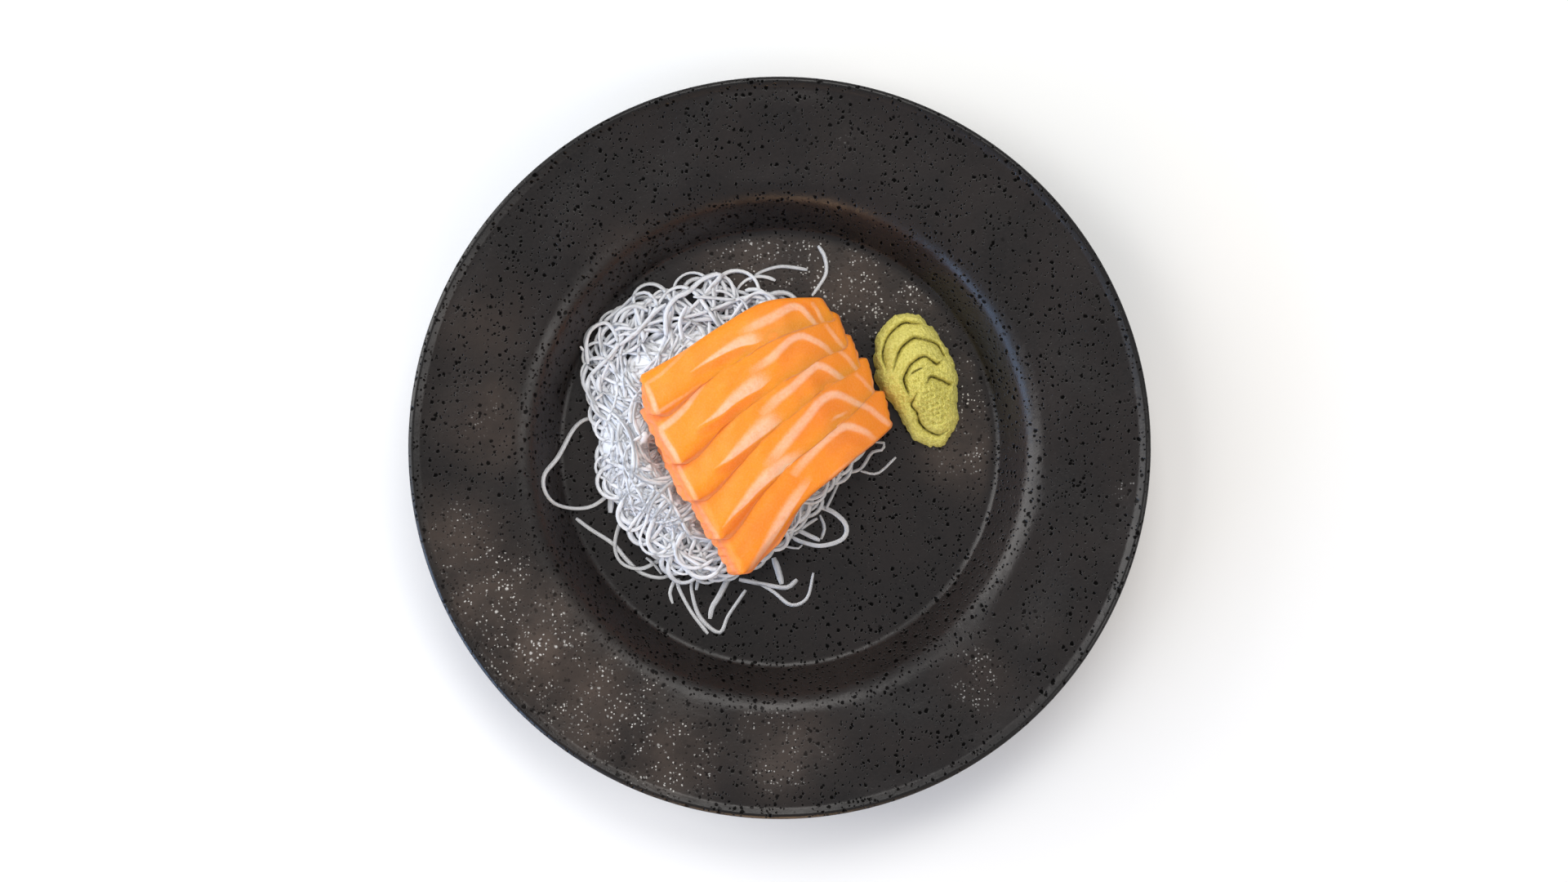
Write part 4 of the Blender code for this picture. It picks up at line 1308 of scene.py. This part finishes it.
@dataclass
class Wasabi:
    """Mound of wasabi paste: nested folds that open to a rough hollow at its lower right."""

    floor_z: float = 6.5
    centre: tuple[float, float] = (47.0, 23.1)
    outline: tuple[float, ...] = (
        14.6, 14.6, 15.4, 18.2, 23.0, 22.9, 19.4, 15.3,
        13.6, 12.2, 11.5, 13.6, 20.4, 24.3, 20.2, 15.6,
    )
    height: float = 10.5
    rim: float = 4.8
    rings: int = 120
    steps: int = 300
    grooves: tuple[tuple[tuple[float, float, float], ...], ...] = (
        ((36.5, 27, 0.3), (35.4, 31.2, 0.9), (35.8, 34.5, 0.8), (37.2, 38, 0.9), (39.5, 40.7, 0.9),
         (42.8, 43, 1.0), (46, 42.7, 0.8), (50, 42.5, 0.2)),
        ((39, 27, 0.3), (40.3, 31.5, 0.9), (41.5, 34, 0.9), (43.5, 36, 1.0), (46, 37.7, 1.0), (48.4, 37.4, 0.9),
         (51, 36.8, 0.8), (54.3, 35.4, 0.9), (56, 32.5, 0.7), (57.5, 30.5, 0.2)),
        ((44, 18.5, 0.5), (43, 21, 1.0), (42.4, 23.4, 1.0), (43.2, 25.6, 1.0), (44.7, 28.3, 0.9), (47.6, 30.6, 0.9),
         (50, 31.2, 0.8), (52, 30, 0.9), (53.8, 28.8, 1.0), (55, 29.5, 0.3)),
        ((50.4, 22.4, 0.4), (51.6, 24.3, 0.9), (54.5, 23.6, 1.0), (58, 22, 0.8)),
        ((46.7, 18, 0.3), (45.8, 16, 0.8), (45.4, 14.3, 1.0), (47, 12.6, 0.9), (47.8, 10.5, 0.9), (48.6, 8.3, 1.0),
         (51, 6, 0.9), (54.6, 4.5, 0.8), (57, 5.5, 0.4)),
        ((43.8, 24, 0.2), (45.4, 25.6, 0.6), (47.4, 26.8, 0.6), (49.4, 27.4, 0.2)),
    )

    def fold(self, plan: Array) -> tuple[Array, Array]:
        """Dip beside the grooves, and the painted shade in the grooves themselves.

        Each roll of paste lies over the next one inward, which is on the right of the
        groove's line: the dip falls steeply at the line and rises slowly to its right.

        Args:
            plan: Plan points, one per row.

        Returns:
            For each point, the deepest dip and the strongest painted shade, from 0 to 1.
        """
        dip, dark = np.zeros(len(plan)), np.zeros(len(plan))
        for groove in self.grooves:
            line = along_route(np.array(groove), 0.3)
            ahead = np.gradient(line[:, :2], axis=0)
            ahead /= np.linalg.norm(ahead, axis=1, keepdims=True)
            away = plan[:, None] - line[None, :, :2]
            closest = np.argmin((away**2).sum(-1), axis=1)
            offset, way = away[np.arange(len(plan)), closest], ahead[closest]
            inward = way[:, 1] * offset[:, 0] - way[:, 0] * offset[:, 1]
            strength = line[closest, 2] * (1 - smooth_step(0.2, 2.0, np.abs((way * offset).sum(-1))))
            round_off = 1 - np.sqrt(1 - np.clip(1 - np.abs(inward) / 1.9, 0, 1) ** 2)
            slope = np.where(inward < 0, round_off, 0.45 * round_off + 0.55 * np.exp(-inward / 3.2))
            dip = np.maximum(dip, slope * strength)
            broken = 0.75 + 0.35 * soft_noise(plan[:, 0], plan[:, 1], 2.0, 65)
            dark = np.maximum(dark, np.exp(-(((inward - 0.12) / 0.34) ** 2)) * strength * broken)
        return dip, dark

    def build(self, paste: bpy.types.Material) -> bpy.types.Object:
        """Raise the mound on a polar grid: a dome, less its grooves, with a grainy surface.

        Args:
            paste: Its finish.

        Returns:
            The mound.
        """
        angle = np.arange(self.steps) * 2 * math.pi / self.steps
        outline = spline(np.array(self.outline), angle / (2 * math.pi), closed=True)
        share = np.sin(np.linspace(0, math.pi / 2, self.rings + 1)[1:])[:, None]
        x, y = share * outline * np.cos(angle), share * outline * np.sin(angle)
        plan = np.stack([x + self.centre[0], y + self.centre[1]], axis=-1)
        ragged = 0.024 * soft_noise(plan[..., 0], plan[..., 1], 6.0, 63) + 0.014 * soft_noise(
            plan[..., 0], plan[..., 1], 2.2, 64)
        plan = np.array(self.centre) + (plan - self.centre) * (1 + ragged * share**3)[..., None]
        dip, dark = (pull.reshape(x.shape) for pull in self.fold(plan.reshape(-1, 2)))
        dome = self.rim + (self.height - self.rim) * (1 - share**2.4)
        edge = np.sqrt(np.clip(1 - share**14, 0, 1))
        rough = np.clip(np.exp(-((x - 6) / 7) ** 2 - ((y + 8) / 9) ** 2) * 1.3, 0, 1)
        hollow = np.exp(-((x - 2.5) / 4.5) ** 2 - ((y + 14.5) / 6.0) ** 2)
        grain = 0.26 * soft_noise(plan[..., 0], plan[..., 1], 0.9, 61)
        lumps = 0.40 * soft_noise(plan[..., 0], plan[..., 1], 2.4, 62)
        height = dome - 4.6 * dip - 2.0 * hollow + (0.5 + 0.9 * rough) * (grain + lumps)
        height = np.maximum(height * edge, 0.6)
        top = np.concatenate([plan, (self.floor_z + height)[..., None]], axis=-1)
        foot = top[-1].copy()
        foot[:, 2] = self.floor_z + 0.3
        crown = (*self.centre, float(top[0, :, 2].mean()))
        points = np.concatenate([top.reshape(-1, 3), foot, [crown], [(*self.centre, self.floor_z + 0.3)]])
        piece = make_mesh("wasabi_paste_mound", points, turned_faces(self.rings + 1, self.steps), paste)
        base = np.zeros(self.steps + 2)
        # Painted shade in the grooves, and a little in the hollow.
        add_attribute(piece, "groove", np.concatenate([np.clip(dark + 0.12 * hollow, 0, 1).ravel(), base]))
        add_attribute(piece, "rough", np.concatenate([rough.ravel(), base]))
        finish_piece(piece, "wasabi", "wasabi_mound")
        return piece


# ---------------------------------------------------------------- studio


class LightTone(Enum):
    """Tints of the studio's lights."""

    NEUTRAL = (1.0, 0.985, 0.96)
    WARM = (1.0, 0.62, 0.34)
    COOL = (0.40, 0.62, 1.0)


@dataclass(frozen=True)
class Softbox:
    """Rectangular light: where it hangs, in metres, its size, power and tint. It faces the food."""

    name: str
    place: tuple[float, float, float]
    size: tuple[float, float]
    power: float
    tone: LightTone = LightTone.NEUTRAL

    def hang(self) -> None:
        """Add the light."""
        data = bpy.data.lights.new(self.name, "AREA")
        data.shape = "RECTANGLE"
        data.size, data.size_y = self.size
        data.energy = self.power
        data.color = self.tone.value
        lamp = bpy.data.objects.new(self.name, data)
        lamp.location = self.place
        away = np.array(self.place)
        lamp.rotation_euler = (
            math.atan2(math.hypot(away[0], away[1]), away[2]), 0.0, math.atan2(away[1], away[0]) + math.pi / 2,
        )
        bpy.context.scene.collection.objects.link(lamp)


@dataclass(frozen=True)
class Studio:
    """Pale floor, soft lights and a camera straight above the plate."""

    eye: tuple[float, float, float] = (0.0015, 0.0023, 0.650)
    lens: float = 42.65
    sky: Colour = (0.80, 0.82, 0.86)
    sky_strength: float = 0.48
    lights: tuple[Softbox, ...] = (
        Softbox("key_softbox", (0.10, 0.85, 1.10), (0.9, 0.6), 8.0),
        Softbox("left_softbox", (-0.85, 0.20, 0.90), (0.6, 0.6), 4.0),
        Softbox("right_fill", (0.85, -0.30, 0.85), (0.6, 0.6), 3.5),
        Softbox("window_left", (-1.05, 0.35, 0.45), (0.9, 0.4), 6.0),
        Softbox("cool_side", (-0.95, -0.55, 0.30), (0.8, 0.45), 8.0, LightTone.COOL),
        Softbox("warm_side", (-0.05, -1.1, 0.28), (0.45, 0.35), 3.5, LightTone.WARM),
    )

    def build(self, paint: bpy.types.Material) -> None:
        """Lay the floor, light the scene and set the camera.

        Args:
            paint: Finish of the floor.
        """
        scene = bpy.context.scene
        corners = np.array([(-1, -1, 0), (1, -1, 0), (1, 1, 0), (-1, 1, 0)]) * 3000.0
        floor = make_mesh("studio_floor", corners, np.array([[0, 1, 2, 3]]), paint)
        floor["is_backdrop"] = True
        world = bpy.data.worlds.new("studio_sky")
        world.use_nodes = True
        background = world.node_tree.nodes["Background"]
        background.inputs["Color"].default_value = (*self.sky, 1.0)
        background.inputs["Strength"].default_value = self.sky_strength
        scene.world = world
        for light in self.lights:
            light.hang()
        data = bpy.data.cameras.new("serving_view")
        data.lens, data.sensor_width = self.lens, 36.0
        data.clip_start = 0.01
        camera = bpy.data.objects.new("serving_view", data)
        camera.location = self.eye
        scene.collection.objects.link(camera)
        scene.camera = camera
        scene.view_settings.view_transform = "Standard"


# ---------------------------------------------------------------- build


FAN_FIRST = ((-47.4, 24.4), (-33.8, 31.8), (-19.9, 41.0), (-4.4, 49.4), (14.0, 51.2))
FAN_LAST = ((-11.8, -43.0), (-1.0, -29.2), (10.2, -16.2), (24.4, -4.6), (38.2, 7.8))
HEAP_OUTLINE = (47.0, 47.0, 48.0, 54.0, 54.0, 56.0, 53.0, 43.0, 40.0, 41.5, 44.0, 48.0, 44.0, 40.0, 42.0)
STRAYS = (
    Shred(((-61.9, 10.4), (-67.3, 9.8), (-71.7, 6), (-76.5, -3.3), (-80.4, -8.9), (-80.5, -14.1), (-77.6, -18.9),
           (-72.1, -20.9), (-66, -20.6), (-60.9, -17.7), (-56.5, -12.9), (-51, -8)), 1.6),
    Shred(((-70.5, -24.5), (-65.7, -28.1), (-57.7, -33.3), (-53.3, -38.5), (-48.1, -43.3), (-42.1, -45.1),
           (-38.1, -44.3), (-34.1, -42.3), (-30.1, -37.3)), 1.6),
    Shred(((-50.9, -21.7), (-55.3, -26.5), (-57.1, -34.5), (-54.5, -40.1), (-48.1, -41.9), (-42.1, -39.3),
           (-36.1, -36.9)), 1.6),
    Shred(((-54.9, -15.3), (-50.9, -21.7), (-45.7, -25.1), (-41.3, -27.3), (-40.9, -33.7), (-42.1, -39.3)), 1.5),
    Shred(((-47.9, -32.5), (-41.3, -32.3)), 1.1),
    Shred(((-46.3, -38.1), (-43.7, -40.1), (-40.9, -43.7)), 1.2),
    Shred(((-58.1, -16.1), (-58.5, -22.5)), 2.3),
    Shred(((-34.9, -45.3), (-35.1, -48.1), (-30.9, -56.5), (-24.9, -64.5)), 1.6),
    Shred(((-30.1, -44.9), (-30.5, -49.3), (-27.7, -58.5), (-20.9, -64.1), (-17.7, -58.1), (-11.7, -49.3)), 1.5),
    Shred(((-17.5, -44.3), (-20.9, -51.3), (-23.3, -55.3), (-24.1, -59.3)), 2.1),
    Shred(((-28.9, -37.3), (-28.1, -43.3), (-28.9, -49.3)), 1.6),
    Shred(((-9.7, -45.7), (-2.5, -49.7), (3.9, -54.5), (9.5, -52.1), (11.7, -43.3)), 1.3),
    Shred(((-14.1, -45.7), (-5.7, -47.3), (2.3, -48.5), (6.1, -45.7)), 2.0),
    Shred(((-2.1, -38.1), (-0.9, -41.7), (0.7, -47.3)), 2.6),
    Shred(((-36, -45), (-38, -50), (-37, -54)), 1.3),
    Shred(((9.9, -19.3), (18.3, -22.1), (23.1, -26.9), (21.9, -31.7), (14.3, -34.1), (7.1, -32.5), (4.3, -30.9)), 2.1),
    Shred(((13.9, -23.3), (15.5, -27.7), (14.3, -31.7)), 1.3),
    Shred(((6.7, -22.5), (8.3, -26.9)), 1.2),
    Shred(((13.1, -24.5), (10.3, -26.1), (4.7, -30.1)), 1.4),
    Shred(((4.7, -27.7), (10.3, -30.5), (13.9, -32.1)), 1.6),
    Shred(((1.1, -34.1), (6.3, -34.9), (7.9, -33.7)), 1.0),
    Shred(((21.9, -8.5), (18.3, -16.5), (15.9, -21.3)), 1.3),
    Shred(((33.1, 1.9), (36.3, 1.5), (35.3, -0.8), (31.9, -1.7), (27.9, -7.3), (21.9, -8.9)), 1.2),
    Shred(((27.9, -8.1), (33.9, -8.9), (40.3, -3.3)), 1.1),
    Shred(((-10.5, 57.5), (-6.7, 60.7), (-0.2, 62.7), (5.2, 62.4), (9.6, 61.6)), 1.4),
    Shred(((13.3, 69.9), (15.5, 66.2), (16.1, 60.7), (13.9, 56.4), (11.2, 52.6)), 1.4),
)
TOP_SHREDS = (
    Shred(((-66.1, 28.7), (-66.7, 35.9), (-64.9, 40.7), (-60.1, 43.1), (-56.9, 39.9), (-55.3, 35.9)), 1.7),
    Shred(((-60.3, 43.5), (-54.9, 47.9), (-50.1, 52.3), (-45.7, 53.3), (-42.5, 49.9), (-41.9, 47.9)), 1.4),
    Shred(((-57.5, 42.3), (-54.9, 46.7), (-49.7, 48.7), (-45.3, 47.1)), 1.4),
    Shred(((-61.7, 41.5), (-62.1, 38.3), (-60.9, 31.1)), 1.1),
    Shred(((-56.5, 40.3), (-54.1, 41.1), (-49.7, 40.3)), 1.2),
    Shred(((-55.3, 38.3), (-52.5, 39.1), (-50.1, 37.9)), 1.2),
    Shred(((-54.9, 35.1), (-48.5, 39.9), (-42.9, 46.3), (-38.9, 49.3)), 1.5),
    Shred(((-32.9, 35.9), (-34.1, 43.1), (-31.7, 48.7)), 1.5),
    Shred(((-37.3, 35.9), (-38.1, 43.9), (-37.3, 46.7)), 1.4),
    Shred(((-38.9, 38.3), (-38.9, 46.3), (-35.7, 51.5), (-31.7, 53.5), (-26.9, 57.9), (-22.1, 59.9), (-20.3, 59.3),
           (-22.1, 57.1), (-25.7, 52.9)), 1.9),
    Shred(((-29.7, 51.9), (-22.9, 51.5), (-15.3, 50.7)), 1.5),
    Shred(((-66.5, 27.9), (-67.7, 22.5), (-63.7, 15.5), (-61.7, 10.7), (-59.7, 9.9)), 1.5),
    Shred(((-64.9, 25.1), (-61.7, 17.5), (-60.5, 11.5)), 1.3),
    Shred(((-63.3, 16.3), (-60.9, 18.7), (-56.1, 23.9)), 1.3),
    Shred(((-64.1, 30.3), (-61.3, 30.7), (-58.1, 30.1)), 1.2),
    Shred(((-68.7, 34.9), (-67.5, 33.3)), 1.2),
)


def main() -> None:
    """Build the plate and the food on it, piece by piece, then the studio."""
    logging.basicConfig(level=logging.INFO, format="%(name)s: %(message)s")
    plate = Plate()
    plate.build(StonewareGlaze().material())
    fan = SalmonFan(np.array(FAN_FIRST), np.array(FAN_LAST), SLICE_FORMS)
    salmon = SalmonFlesh().material()
    for index in range(len(SLICE_FORMS)):
        fan.build(index, salmon)
    field = HeightField((-95.0, -80.0), (55.0, 85.0), 0.5)
    grid_x, grid_y = field.centres()
    field.height = plate.surface_z(np.hypot(grid_x, grid_y))
    ceiling = fan.ceiling(field)
    radish = Radish(plate, fan, HEAP_OUTLINE)
    white = RadishFlesh().material()
    radish.build_core(field, ceiling, white)
    draw = np.random.default_rng(7)
    radish.build_shreds("radish_strays", list(STRAYS), 0.42, field, ceiling, draw, white)
    shreds = [radish.wander(draw) for _ in range(radish.count)]
    radish.build_shreds("radish_shreds", [*shreds, *TOP_SHREDS], 0.06, field, ceiling, draw, white)
    Wasabi().build(WasabiPaste().material())
    Studio().build(FloorPaint().material())
    boxes = {"cad": CAD_BOUNDS, "visual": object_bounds()}
    boxes = {name: [list(map(float, corner)) for corner in box] for name, box in boxes.items()}


if __name__ == "__main__":
    main()
